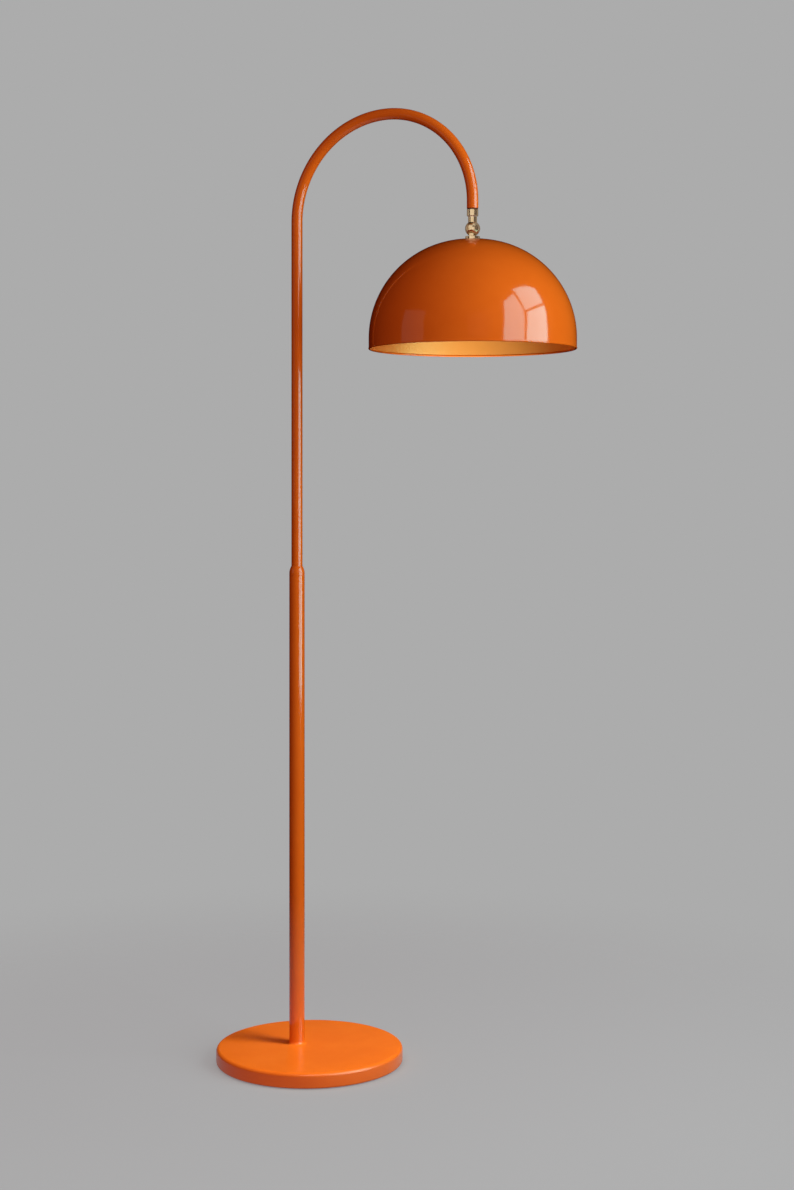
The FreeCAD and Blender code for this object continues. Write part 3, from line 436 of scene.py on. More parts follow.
class Pen:
    """Draws an outline in edit mode, as a chain of extruded points and spun arcs."""

    ARC_STEP = 9.0
    LONGEST = 4.0

    def __init__(self, name: str, axis: Span, start: Span) -> None:
        """Puts the pen down.

        Args:
            name: the piece's name.
            axis: plan place of the upright axis, mm.
            start: first point, out from the axis and up, mm.
        """
        self.axis = axis
        self.out, self.up = start
        self.piece = begun("plane", name, size=MM, location=self.point(*start))
        bpy.ops.object.mode_set(mode="EDIT")
        bpy.ops.mesh.select_mode(type="VERT")
        bpy.ops.mesh.merge(type="CENTER")

    def point(self, out: float, up: float) -> Place:
        """A place beside the axis, in metres."""
        return (self.axis[0] + out) * MM, self.axis[1] * MM, up * MM

    def line(self, out: float, up: float) -> None:
        """Draws a straight line to a place beside the axis, mm."""
        step = ((out - self.out) * MM, 0.0, (up - self.up) * MM)
        if Vector(step).length > FINEST_MERGE:
            bpy.ops.mesh.extrude_vertices_move(TRANSFORM_OT_translate={"value": step})
            self.out, self.up = out, up

    def arc(self, arc: Arc) -> None:
        """Draws an arc.

        Args:
            arc: its centre and sweep.
        """
        out, up, sweep = arc
        reach = math.hypot(self.out - out, self.up - up)
        turn = math.radians(sweep)
        steps = max(3, math.ceil(abs(sweep) / self.ARC_STEP),
                    math.ceil(abs(turn) * reach / self.LONGEST))
        bpy.ops.mesh.spin(steps=steps, angle=turn, center=self.point(out, up), axis=(0.0, 1.0, 0.0))
        start = math.atan2(self.up - up, self.out - out)
        self.out = out + reach * math.cos(start + turn)
        self.up = up + reach * math.sin(start + turn)

    def eased(self, corner: Place, beyond: Span) -> None:
        """Draws up to a corner and round it.

        Args:
            corner: the corner's place and the radius that rounds it, mm.
            beyond: the place that the outline goes on to, mm.
        """
        here = Vector(corner[:2])
        back = (Vector((self.out, self.up)) - here).normalized()
        ahead = (Vector(beyond) - here).normalized()
        half = math.acos(max(-1.0, min(1.0, back.dot(ahead)))) / 2
        start = here + back * (corner[2] / math.tan(half))
        middle = here + (back + ahead).normalized() * (corner[2] / math.sin(half))
        turn = 180 - math.degrees(half) * 2
        side = 1 if back.x * ahead.y - back.y * ahead.x < 0 else -1
        self.line(start.x, start.y)
        self.arc(Arc(middle.x, middle.y, turn * side))

    def spun(self, around: int) -> Piece:
        """Spins the outline round the axis into a piece.

        Args:
            around: steps round the axis.

        Returns:
            The piece.
        """
        bpy.ops.mesh.select_all(action="SELECT")
        bpy.ops.mesh.spin(steps=around, angle=math.tau, center=self.point(0.0, 0.0),
                          axis=(0.0, 0.0, 1.0))
        return closed_up(self.piece)


def closed_up(piece: Piece) -> Piece:
    """Merges doubles, points the faces outwards and leaves edit mode.

    Args:
        piece: the piece being edited.

    Returns:
        The same piece.
    """
    bpy.ops.mesh.select_all(action="SELECT")
    bpy.ops.mesh.remove_doubles(threshold=FINEST_MERGE)
    bpy.ops.mesh.normals_make_consistent(inside=False)
    bpy.ops.object.mode_set(mode="OBJECT")
    return piece


def turned(name: str, outline: Outline, axis: Span = (0.0, 0.0), around: int = 128,
           solid: bool = False) -> Piece:
    """Turns a piece from the outline of one side.

    Args:
        name: the piece's name.
        outline: arcs and corners in order. A corner is its distance from the axis and its
            height, with the radius that rounds it where it has one, mm. A ring's outline is
            joined back to its start.
        axis: plan place of the upright axis, mm.
        around: steps round the axis.
        solid: True where the outline starts and ends on the axis.

    Returns:
        The piece.
    """
    pen = Pen(name, axis, outline[0])
    stops = [*outline[1:]] if solid else [*outline[1:], outline[0]]
    for place, stop in enumerate(stops):
        if isinstance(stop, Arc):
            pen.arc(stop)
        elif any(stop[2:]) and place + 1 < len(stops):
            pen.eased(stop, stops[place + 1][:2])
        else:
            pen.line(*stop[:2])
    return pen.spun(around)


def ring(name: str, radii: Span, heights: Span, eases: Place = (0.0, 0.0, 0.0),
         axis: Span = SHADE_CENTRE, around: int = 96) -> Piece:
    """Turns a plain ring.

    Args:
        name: its name.
        radii: of its bore and its rim, mm.
        heights: of its underside and its top, mm.
        eases: radii that round the rim's lower edge, its upper edge and the bore's upper edge, mm.
        axis: plan place of its axis, mm.
        around: steps round the axis.

    Returns:
        The ring.
    """
    (bore, rim), (low, high) = radii, heights
    return turned(name, (
        (bore, low), (rim, low, eases[0]), (rim, high, eases[1]), (bore, high, eases[2]),
    ), axis, around)


def alone(piece: Piece) -> None:
    """Selects one piece and nothing else, as the operators need it.

    Args:
        piece: the piece.
    """
    bpy.ops.object.select_all(action="DESELECT")
    piece.select_set(True)
    bpy.context.view_layer.objects.active = piece


def applied(piece: Piece, kind: str, **settings: object) -> Piece:
    """Adds a modifier and applies it.

    Args:
        piece: the piece.
        kind: the modifier's type.
        **settings: its attributes.

    Returns:
        The same piece.
    """
    alone(piece)
    modifier = piece.modifiers.new(kind.lower(), kind)
    for name, value in settings.items():
        setattr(modifier, name, value)
    bpy.ops.object.modifier_apply(modifier=modifier.name)
    return piece


def bevelled(piece: Piece, width: float, segments: int, above: float = SHARP_ABOVE) -> Piece:
    """Rounds a piece's sharp edges.

    Args:
        piece: the piece.
        width: width of the rounding, mm.
        segments: its steps.
        above: edges that bend more than this are sharp, radians.

    Returns:
        The same piece.
    """
    return applied(piece, "BEVEL", width=width * MM, segments=segments, limit_method="ANGLE",
                   angle_limit=above)


def shaped(piece: Piece, tool: Piece, cut: Cut = Cut.AWAY) -> Piece:
    """Cuts a tool body out of a piece, joins it on, or keeps what is inside it.

    Args:
        piece: the piece.
        tool: the tool body, used up.
        cut: what the tool does.

    Returns:
        The same piece.
    """
    applied(piece, "BOOLEAN", object=tool, operation=cut.value, solver="EXACT")
    bpy.data.objects.remove(tool)
    return piece


def settled(piece: Piece, turn: Place, place: Place) -> Piece:
    """Turns and moves a piece in its mesh.

    Args:
        piece: the piece, modelled round the upright axis at the origin.
        turn: rotation about X, then Y, then Z, radians.
        place: where its origin goes, mm.

    Returns:
        The same piece.
    """
    alone(piece)
    piece.rotation_euler = turn
    piece.location = Vector(place) * MM
    bpy.ops.object.transform_apply(location=True, rotation=True, scale=True)
    return piece


def rod(radius: float, length: float, turn: Place, place: Place, around: int = 64,
        name: str = "tool") -> Piece:
    """A round tool body.

    Args:
        radius: its radius, mm.
        length: its length, mm.
        turn: rotation from upright, radians.
        place: its middle, mm.
        around: its sides.
        name: its name, where it stays.

    Returns:
        The tool body.
    """
    made = begun("cylinder", name, vertices=around, radius=radius * MM, depth=length * MM)
    return settled(made, turn, place)


def block(low: Place, high: Place) -> Piece:
    """A square tool body between two corners, mm."""
    made = begun("cube", "tool", size=MM)
    made.scale = Vector(high) - Vector(low)
    return settled(made, UPRIGHT, tuple((Vector(low) + Vector(high)) / 2))


def pick_faces(piece: Piece, wanted: Callable[[bpy.types.MeshPolygon], bool]) -> None:
    """Opens edit mode with the wanted faces selected.

    Args:
        piece: the piece.
        wanted: says which faces to select.
    """
    alone(piece)
    bpy.ops.object.mode_set(mode="EDIT")
    bpy.ops.mesh.select_mode(type="FACE")
    bpy.ops.mesh.select_all(action="DESELECT")
    bpy.ops.object.mode_set(mode="OBJECT")
    for face in piece.data.polygons:
        face.select = wanted(face)
    bpy.ops.object.mode_set(mode="EDIT")


def dressed(piece: Piece, body: Body, finish: Finish, *nodes: str) -> None:
    """Smooths a piece apart from its real edges, gives it its finish and body, and hides the nodes
    that it replaces.

    Args:
        piece: the piece.
        body: the body that it rides on.
        finish: its finish.
        nodes: names of the nodes that it replaces.
    """
    alone(piece)
    bpy.ops.object.shade_smooth_by_angle(angle=SMOOTH_BELOW)
    if not piece.data.materials:
        piece.data.materials.append(finish.material())
    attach(piece, body.value)
    if nodes:
        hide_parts(*nodes)
    LOG.info("%s: %d faces, %s", piece.name, len(piece.data.polygons), body.value)


# ---------------------------------------------------------------- the lamp


class Part:
    """A sub-assembly of the lamp.

    Attributes:
        body: the body that its pieces ride on.
        shown: the method that makes each piece, its finish and the nodes that it replaces.
    """

    body: ClassVar[Body]
    shown: ClassVar[dict[str, tuple]]

    def build(self) -> None:
        """Builds and dresses the pieces."""
        for make, (finish, *nodes) in self.shown.items():
            dressed(getattr(self, make)(), self.body, finish, *nodes)


@dataclass
class Base(Part):
    """The round base: a spun cover over the weight, on a foam pad, with the lead's gland.

    Attributes are sizes in mm. The bush is outlined round the lead, outwards from the pole's side.
    """

    body = Body.BASE
    shown = {
        "cover": (COVER_ENAMEL, "base_cover"),
        "pad": (EVA_FOAM, "floor_pad"),
        "gland": (BLACK_PLASTIC, "cable_gland"),
    }

    radius: float = 151.4
    height: float = 25.4
    lift: float = 1.2
    wall: float = 1.5
    top_round: float = 6.0
    edge_round: float = 3.0
    top_rings: Span = (20.0, 90.0)
    lip: float = 140.4
    lip_round: float = 0.4
    pad_radius: float = 139.4
    pad_border: float = 12.0
    pad_top: float = 2.0
    pad_rounds: Span = (0.6, 0.5)
    bearing: float = 180.0
    stud_hole: float = 5.2
    gland_height: float = 9.5
    gland_hole: float = 4.7
    gland_cut: float = 20.0
    bush: Outline = (
        (3.3, 147.7), (3.3, 153.2, 0.7), (7.0, 153.2, 0.9), (7.0, 151.4),
        (4.5, 151.4), (4.5, 149.7), (5.2, 149.7, 0.2), (4.5, 147.7),
    )

    def cover(self) -> Piece:
        """The spun disc with both edges rolled, pierced for the stud and the lead."""
        crown = self.radius - self.top_round
        roll = self.radius - self.edge_round
        low = self.lift + self.edge_round
        high = self.height - self.top_round
        inside = self.lift + self.wall
        cover = turned("spun_base_cover", (
            *((out, self.height) for out in (0.0, *self.top_rings, crown)), Arc(crown, high, -90),
            (self.radius, low), Arc(roll, low, -90),
            (self.lip, self.lift, self.lip_round), (self.lip, inside, self.lip_round),
            (roll, inside), Arc(roll, low, 90), (self.radius - self.wall, high),
            Arc(crown, high, 90),
            *((out, self.height - self.wall) for out in (*reversed(self.top_rings), 0.0)),
        ), around=288, solid=True)
        shaped(cover, rod(self.stud_hole, self.wall * 3, UPRIGHT, (*POLE_CENTRE, self.height)))
        way = math.radians(self.bearing)
        middle = (self.radius * math.cos(way), self.radius * math.sin(way), self.gland_height)
        return shaped(cover, rod(self.gland_hole, self.gland_cut, (0, QUARTER, way), middle))

    def pad(self) -> Piece:
        """The foam disc, its edges a little crushed."""
        inner = self.pad_radius - self.pad_border
        return turned("foam_pad", (
            (0.0, 0.0), (inner, 0.0), (self.pad_radius, 0.0, self.pad_rounds[0]),
            (self.pad_radius, self.pad_top, self.pad_rounds[1]), (inner, self.pad_top),
            (0.0, self.pad_top),
        ), around=192, solid=True)

    def gland(self) -> Piece:
        """The moulded bush in the cover's back edge."""
        gland = turned("lead_gland", self.bush, around=72)
        turn = (0.0, QUARTER, math.radians(self.bearing))
        return settled(gland, turn, (0.0, 0.0, self.gland_height))


@dataclass
class Pole(Part):
    """The lower tube and the collar on top of it.

    Attributes are sizes in mm.
    """

    body = Body.BASE
    shown = {
        "tube": (ENAMEL_STEEL, "pole_tube"),
        "collar": (ENAMEL_STEEL, "pole_collar"),
        "bead": (COVER_ENAMEL,),
    }

    radius: float = 12.5
    bore: float = 11.0
    foot: float = 25.4
    stations: Place = (200.0, 400.0, 600.0)
    top: float = 789.7
    fillet: float = 5.0
    sunk: float = 0.3
    edge: float = 0.4
    spigot: float = 10.95
    spigot_low: float = 749.7
    band: float = 3.0
    crown: float = 11.7
    hole: float = 9.35
    lip: float = 4.7
    bush_seat: float = 9.9
    around: int = 144

    def tube(self) -> Piece:
        """The straight tube, its upper edges broken."""
        return turned("lower_tube", (
            (self.bore, self.foot), (self.radius, self.foot),
            *((self.radius, up) for up in self.stations),
            (self.radius, self.top, self.edge), (self.bore, self.top, self.edge),
        ), POLE_CENTRE, self.around)

    def bead(self) -> Piece:
        """The enamelled fillet where the tube stands on the cover."""
        outer = self.radius + self.fillet
        inner = self.radius - self.sunk
        high = self.foot + self.fillet
        return turned("foot_fillet", (
            (inner, self.foot - self.sunk), (outer, self.foot - self.sunk), (outer, self.foot),
            Arc(outer, high, -90), (inner, high),
        ), POLE_CENTRE, self.around)

    def collar(self) -> Piece:
        """The collar: a short band, a rounded shoulder, and the spigot in the tube."""
        inset = self.radius - self.hole
        shoulder = (inset * inset + self.crown * self.crown) / (inset * 2)
        middle = self.radius - shoulder
        brow = self.top + self.band
        high = brow + self.crown
        sweep = math.degrees(math.atan2(self.crown - self.edge, self.hole + self.edge / 2 - middle))
        return turned("shoulder_collar", (
            (self.spigot, self.spigot_low), (self.spigot, self.top),
            (self.radius, self.top, self.edge),
            (self.radius, brow), Arc(middle, brow, sweep), (self.hole, high),
            (self.hole, high - self.lip),
            (self.bush_seat, high - self.lip), (self.bush_seat, self.spigot_low),
        ), POLE_CENTRE, self.around)


@dataclass
class Arm(Part):
    """The bent arm tube, with the brass band and its washer at the tip.

    Attributes are sizes in mm.
    """

    body = Body.ARM
    shown = {
        "tube": (ENAMEL_STEEL, "arm_tube"),
        "collar": (POLISHED_BRASS, "swivel_collar"),
        # Partly painted shade: a dark ring in the groove stands for the gap at the tube's end.
        "seam": (CORE_SHEATH,),
        "washer": (NATURAL_NYLON, "pivot_washer"),
    }

    radius: float = 9.0
    wall: float = 1.2
    foot: float = 566.05
    spring: float = 1365.8
    left_bend: float = 163.0
    right_bend: float = 147.6
    tip: float = 1368.8
    edge: float = 0.9
    around: int = 72
    lengths: int = 4
    band: float = 12.1
    band_edge: float = 0.3
    groove: float = 2.1
    neck: float = 6.3
    ring: float = 8.6
    bore: float = 4.65
    spigot: float = 6.0
    spigot_height: float = 9.0
    spigot_edge: float = 0.4
    washer_radius: float = 6.6
    washer_thick: float = 0.8
    washer_edge: float = 0.2

    def tube(self) -> Piece:
        """The tube, drawn up straight and bent over twice, with its wall inside."""
        x, y = (part * MM for part in POLE_CENTRE)
        tube = begun("circle", "bent_arm_tube", vertices=self.around, radius=self.radius * MM,
                     location=(x, y, self.foot * MM))
        bpy.ops.object.mode_set(mode="EDIT")
        rise = (self.spring - self.foot) / self.lengths * MM
        for _ in range(self.lengths):
            bpy.ops.mesh.extrude_edges_move(TRANSFORM_OT_translate={"value": (0.0, 0.0, rise)})
        right_spring = self.spring + self.left_bend - self.right_bend
        across = x + self.left_bend * MM
        for radius, height in ((self.left_bend, self.spring), (self.right_bend, right_spring)):
            bpy.ops.mesh.spin(steps=max(self.around, int(radius / 2)), angle=QUARTER,
                              center=(across, y, height * MM), axis=(0.0, -1.0, 0.0))
        fall = (self.tip - right_spring) * MM
        bpy.ops.mesh.extrude_edges_move(TRANSFORM_OT_translate={"value": (0.0, 0.0, fall)})
        applied(closed_up(tube), "SOLIDIFY", thickness=self.wall * MM, offset=-1.0)
        return bevelled(tube, self.edge, 3, math.radians(60))

    def collar(self) -> Piece:
        """The brass band, with the fine groove above it and its spigot in the tube."""
        low = self.tip - self.band
        brow = self.tip - self.groove
        high = self.tip + self.spigot_height
        return turned("brass_band", (
            (self.bore, low), (self.radius, low, self.band_edge),
            (self.radius, brow, self.band_edge),
            (self.neck, brow), (self.neck, self.tip), (self.spigot, self.tip),
            (self.spigot, high, self.spigot_edge), (self.bore, high, self.spigot_edge),
        ), SHADE_CENTRE)

    def seam(self) -> Piece:
        """A thin fibre ring in the groove at the tube's end, its dark brown partly painted shade
        for the gap.
        """
        return ring("fibre_ring", (self.neck, self.ring), (self.tip - self.groove, self.tip))

    def washer(self) -> Piece:
        """The nylon washer that the fork turns against."""
        high = self.tip - self.band
        return ring("band_washer", (self.bore, self.washer_radius),
                    (high - self.washer_thick, high), (self.washer_edge, self.washer_edge, 0.0))


@dataclass
class Swivel(Part):
    """The ball-shaped fork and the screw across it.

    Attributes are sizes in mm, with heights from the hinge's axis.
    """

    body = Body.SWIVEL
    shown = {
        "fork": (POLISHED_BRASS, "swivel_fork"),
        "screw": (POLISHED_BRASS, "hinge_screw"),
        "washers": (NATURAL_NYLON, "tilt_washers"),
    }

    hinge: float = 1337.1
    ball: float = 11.9
    neck: float = 7.0
    neck_top: float = 18.75
    pivot: float = 4.6
    pivot_bore: float = 3.1
    pivot_top: float = 44.3
    slot: float = 8.3
    roof: float = 9.4
    edge: float = 0.3
    beyond: float = 20.0
    shank: float = 2.5
    shank_edge: float = 0.4
    play: float = 0.05
    head: float = 4.2
    head_edge: float = 0.5
    head_play: float = 0.2
    head_seat: float = 9.2
    head_top: float = 11.1
    screw_end: float = -10.4
    driver: float = 1.1
    driver_depth: float = 0.9
    fine_edge: float = 0.12
    washer_radius: float = 7.5
    washer_thick: float = 0.4

    def fork(self) -> Piece:
        """The neck and ball, slotted from below for the tongue and bored for the screw."""
        rise = math.sqrt(self.ball ** 2 - self.neck ** 2)
        neck_top, pivot_top, roof = (
            self.hinge + up for up in (self.neck_top, self.pivot_top, self.roof))
        fork = turned("ball_fork", (
            (0.0, self.hinge - self.ball),
            Arc(0.0, self.hinge, 90 + math.degrees(math.atan2(rise, self.neck))),
            (self.neck, neck_top, self.edge), (self.pivot, neck_top),
            (self.pivot, pivot_top, self.edge),
            (self.pivot_bore, pivot_top), (self.pivot_bore, roof), (0.0, roof),
        ), SHADE_CENTRE, around=160, solid=True)
        east, north = SHADE_CENTRE
        shaped(fork, block((east - self.slot / 2, north - self.beyond, self.hinge - self.beyond),
                           (east + self.slot / 2, north + self.beyond, roof)))
        middle = (east, north, self.hinge)
        shaped(fork, rod(self.shank + self.play, self.beyond * 2, ACROSS, middle))
        seat = (east + self.head_seat + self.beyond / 2, north, self.hinge)
        shaped(fork, rod(self.head + self.head_play, self.beyond, ACROSS, seat))
        return bevelled(fork, self.edge, 2)

    def screw(self) -> Piece:
        """The slotted cheese-head screw across the ball."""
        screw = turned("slotted_screw", (
            (0.0, self.screw_end), (self.shank, self.screw_end, self.shank_edge),
            (self.shank, self.head_seat), (self.head, self.head_seat),
            (self.head, self.head_top, self.head_edge), (0.0, self.head_top),
        ), around=96, solid=True)
        half = self.driver / 2
        shaped(screw, block((-self.beyond, -half, self.head_top - self.driver_depth),
                            (self.beyond, half, self.beyond)))
        bevelled(screw, self.fine_edge, 2)
        return settled(screw, ACROSS, (*SHADE_CENTRE, self.hinge))

    def washers(self) -> Piece:
        """The two thin washers beside the tongue."""
        outer, inner = self.slot / 2, self.slot / 2 - self.washer_thick
        first, second = (
            ring("side_washers", (self.shank + self.play, self.washer_radius), heights,
                 (self.fine_edge, self.fine_edge, 0.0), (0.0, 0.0), around=72)
            for heights in ((-outer, -inner), (inner, outer))
        )
        alone(first)
        second.select_set(True)
        bpy.ops.object.join()
        return settled(first, ACROSS, (*SHADE_CENTRE, self.hinge))


@dataclass
class Shade(Part):
    """The tongue under the hinge, the turned seat and the spun dome that it carries.

    Attributes are sizes in mm, apart from the hem's: it is a bead that the skirt meets at a share
    of its radius, some degrees round it.
    """

    body = Body.SHADE
    shown = {
        "tongue": (POLISHED_BRASS, "swivel_tongue"),
        "seat": (POLISHED_BRASS, "seat_washer"),
        "dome": (ENAMEL_ALUMINIUM, "shade_dome"),
        "washer": (ZINC_STEEL, "stem_washer"),
        "nut": (ZINC_STEEL, "stem_nut"),
    }

    hinge: float = 1337.1
    eye: float = 9.0
    thick: float = 7.3
    pin_hole: float = 2.55
    tongue_edge: float = 0.35
    beyond: float = 20.0
    stem: float = 5.0
    stem_bore: float = 3.1
    stem_low: float = 1302.2
    stem_edge: float = 0.5
    stem_sunk: float = 0.4
    seat_top: float = 1325.0
    seat_radius: float = 11.7
    seat_edges: Place = (0.3, 1.0, 0.3)
    top: float = 1319.9
    bore: float = 5.2
    flat: float = 15.0
    wall: float = 1.2
    radius: float = 162.5
    shoulder: float = 154.5
    crown: float = 200.0
    skirt_top: float = 1165.25
    rim: float = 1148.25
    hem_out: float = 163.0
    hem_high: float = 3.2
    hem_share: float = 0.73
    hem_start: float = 47.0
    washer_radius: float = 14.0
    washer_thick: float = 1.5
    washer_edge: float = 0.3
    nut_radius: float = 9.8
    nut_high: float = 5.0
    nut_bore: float = 5.05
    nut_cone: Span = (8.2, 10.2)
    nut_ends: Span = (0.5, 0.7)

    def tongue(self) -> Piece:
        """The brass tongue: a round eye, a shank, and the threaded stem below."""
        east, north = SHADE_CENTRE
        half = self.thick / 2
        middle = (east, north, self.hinge)
        tongue = rod(self.eye, self.thick, ACROSS, middle, 128, "brass_tongue")
        shaped(tongue, block((east - half, north - self.stem, self.seat_top),
                             (east + half, north + self.stem, self.hinge)), Cut.ONTO)
        shaped(tongue, rod(self.pin_hole, self.beyond, ACROSS, middle))
        bevelled(tongue, self.tongue_edge, 3)
        stem = ring("stem", (self.stem_bore, self.stem),
                    (self.stem_low, self.seat_top + self.stem_sunk), (self.stem_edge, 0.0, 0.0))
        return shaped(tongue, stem, Cut.ONTO)

    def seat(self) -> Piece:
        """The turned brass washer between the ball and the dome."""
        return ring("turned_seat", (self.bore, self.seat_radius), (self.top, self.seat_top),
                    self.seat_edges, around=160)

    def dome(self) -> Piece:
        """The spun dome: a crown, a long shoulder, a short skirt and a rolled hem."""
        middle = self.radius - self.shoulder
        ease = self.crown - self.shoulder
        drop = math.sqrt(ease ** 2 - middle ** 2)
        crown_up = self.skirt_top - drop
        first = math.degrees(math.atan2(self.top - crown_up, self.flat))
        join = math.degrees(math.atan2(drop, middle))
        bead = self.hem_high / 2
        bead_out = self.hem_out - bead
        bead_up = self.rim + bead
        inside = self.radius - self.wall
        inner_top = self.top - self.wall
        inner_first = math.degrees(math.asin((inner_top - crown_up) / (self.crown - self.wall)))
        meet = math.degrees(math.asin((inside - bead_out) / bead))
        dome = turned("spun_shade", (
            (self.bore, inner_top), (self.bore, self.top), (self.flat, self.top),
            Arc(0.0, crown_up, join - first), Arc(middle, self.skirt_top, -join),
            (self.radius, bead_up + bead * self.hem_share),
            Arc(bead_out, bead_up, -(270 - self.hem_start - meet)),
            (inside, bead_up + bead), (inside, self.skirt_top),
            Arc(middle, self.skirt_top, join), Arc(0.0, crown_up, inner_first - join),
        ), SHADE_CENTRE, around=256)
        for finish in (ENAMEL_ALUMINIUM, GOLD_LACQUER):
            dome.data.materials.append(finish.material())
        centre = Vector((*SHADE_CENTRE, self.rim)) * MM
        for face in dome.data.polygons:
            inward = (centre - face.center).dot(face.normal) > 0
            high = face.center.z > (self.rim + self.hem_high) * MM
            face.material_index = 1 if inward and high else 0
        return dome

    def washer(self) -> Piece:
        """The zinc-plated washer under the dome's top."""
        high = self.top - self.wall
        return ring("clamp_washer", (self.bore, self.washer_radius),
                    (high - self.washer_thick, high), (self.washer_edge, self.washer_edge, 0.0))

    def nut(self) -> Piece:
        """The hexagon nut under the washer, its corners turned off."""
        high = self.top - self.wall - self.washer_thick
        low = high - self.nut_high
        middle = (*SHADE_CENTRE, (low + high) / 2)
        nut = rod(self.nut_radius, self.nut_high, UPRIGHT, middle, 6, "clamp_nut")
        (narrow, wide), (past, back) = self.nut_cone, self.nut_ends
        shaped(nut, turned("corners", (
            (0.0, low - past), (narrow, low - past), (wide, low + back),
            (wide, high - back), (narrow, high + past), (0.0, high + past),
        ), SHADE_CENTRE, around=96, solid=True), Cut.WITHIN)
        return shaped(nut, rod(self.nut_bore, 12.0, UPRIGHT, middle))


@dataclass
class Lampholder(Part):
    """The moulded lampholder in the dome and the opal bulb in it.

    Attributes are sizes in mm, with heights from the holder's top.
    """

    body = Body.SHADE
    shown = {
        "cap": (BLACK_PLASTIC, "holder_cap"),
        "barrel": (BLACK_PLASTIC, "holder_sleeve"),
        "glass": (OPAL_GLASS, "bulb_glass"),
    }

    top: float = 1312.2
    bore: float = 5.05
    crown: float = 10.0
    radius: float = 19.5
    slope: float = 8.0
    height: float = 22.0
    wall: float = 1.9
    cap_edges: Place = (1.2, 2.5, 0.5)
    boss: float = 8.85
    boss_low: float = -10.8
    sleeve: float = 20.5
    sleeve_wall: float = 2.2
    sleeve_top: float = -22.2
    sleeve_low: float = -60.2
    sleeve_edges: tuple[float, ...] = (0.4, 0.6, 1.5, 0.5)
    spigot: float = 17.55
    spigot_rise: float = 8.0
    mouth: float = 15.2
    mouth_steps: Span = (2.6, 5.2)
    throat_steps: Span = (6.6, 2.2)
    flutes: int = 40
    flute_ends: Span = (7.0, 4.0)
    flute_inset: float = 0.35
    flute_depth: float = 0.55
    globe: float = 30.0
    globe_up: float = 1208.0
    glass_top: float = 1257.8
    glass_neck: float = 13.4
    glass_collar: float = 4.0
    glass_wall: float = 0.8

    def cap(self) -> Piece:
        """The cap that screws onto the stem."""
        top, low, foot = self.top, self.top - self.height, self.top + self.boss_low
        inside = self.radius - self.wall
        roof = top - self.wall * 1.5
        return turned("holder_top", (
            (self.bore, top), (self.crown, top, self.cap_edges[0]),
            (self.radius, top - self.slope, self.cap_edges[1]),
            (self.radius, low, self.cap_edges[2]),
            (inside, low), (inside, top - self.slope - self.wall / 2), (self.crown, roof),
            (self.boss, roof), (self.boss, foot), (self.bore, foot),
        ), SHADE_CENTRE)

    def barrel(self) -> Piece:
        """The sleeve, with grip flutes pressed in round it."""
        top = self.top + self.sleeve_top
        low = self.top + self.sleeve_low
        inner = self.spigot - self.wall
        inside = self.sleeve - self.sleeve_wall
        flute_low, flute_top = low + self.flute_ends[0], top - self.flute_ends[1]
        spigot_edge, shoulder_edge, foot_edge, mouth_edge = self.sleeve_edges
        barrel = turned("holder_barrel", (
            (inner, top + self.spigot_rise), (self.spigot, top + self.spigot_rise, spigot_edge),
            (self.spigot, top), (self.sleeve, top, shoulder_edge), (self.sleeve, flute_top),
            (self.sleeve, flute_low), (self.sleeve, low, foot_edge), (self.mouth, low, mouth_edge),
            (self.mouth, low + self.mouth_steps[0]), (inside, low + self.mouth_steps[1]),
            (inside, top - self.throat_steps[0]), (inner, top - self.throat_steps[1]),
        ), SHADE_CENTRE, around=self.flutes * 4)

        def in_flute(face: bpy.types.MeshPolygon) -> bool:
            """True for two of every four outer faces between the flutes' ends."""
            east = face.center.x - SHADE_CENTRE[0] * MM
            north = face.center.y - SHADE_CENTRE[1] * MM
            number = int(math.atan2(north, east) / math.tau * self.flutes * 4 + self.flutes * 4)
            outside = math.hypot(east, north) > (self.sleeve - 0.5) * MM
            return outside and flute_low * MM < face.center.z < flute_top * MM and number % 4 < 2

        pick_faces(barrel, in_flute)
        bpy.ops.mesh.inset(thickness=self.flute_inset * MM, depth=-self.flute_depth * MM)
        bpy.ops.object.mode_set(mode="OBJECT")
        return barrel

    def glass(self) -> Piece:
        """The opal globe and its flared neck."""
        brow = self.glass_top - self.glass_collar
        fall = brow - self.globe_up
        spare = self.globe - self.glass_neck
        flare = (self.glass_neck ** 2 + fall ** 2 - self.globe ** 2) / (spare * 2)
        away = self.glass_neck + flare
        sweep = math.degrees(math.asin(fall / (flare + self.globe)))
        return turned("globe_glass", (
            (self.glass_neck - self.glass_wall, self.glass_top), (self.glass_neck, self.glass_top),
            (self.glass_neck, brow), Arc(away, brow, sweep), Arc(0.0, self.globe_up, -90 - sweep),
            (0.0, self.globe_up - self.globe + self.glass_wall),
            Arc(0.0, self.globe_up, 90 + sweep), Arc(away, brow, -sweep),
        ), SHADE_CENTRE)


# ---------------------------------------------------------------- the studio


@dataclass(frozen=True)
class Pane:
    """A bright pane or card that only reflections see.

    Attributes:
        name: its name.
        heading: the way that its upright plane lies from the lamp, degrees from -Y towards +X.
        corners: places along the plane and up it, m.
        bright: its radiance.
        only: the pieces that mirror it, or none for all the enamel.
    """

    name: str
    heading: float
    corners: tuple[Span, ...]
    bright: float
    only: tuple[str, ...] = ()


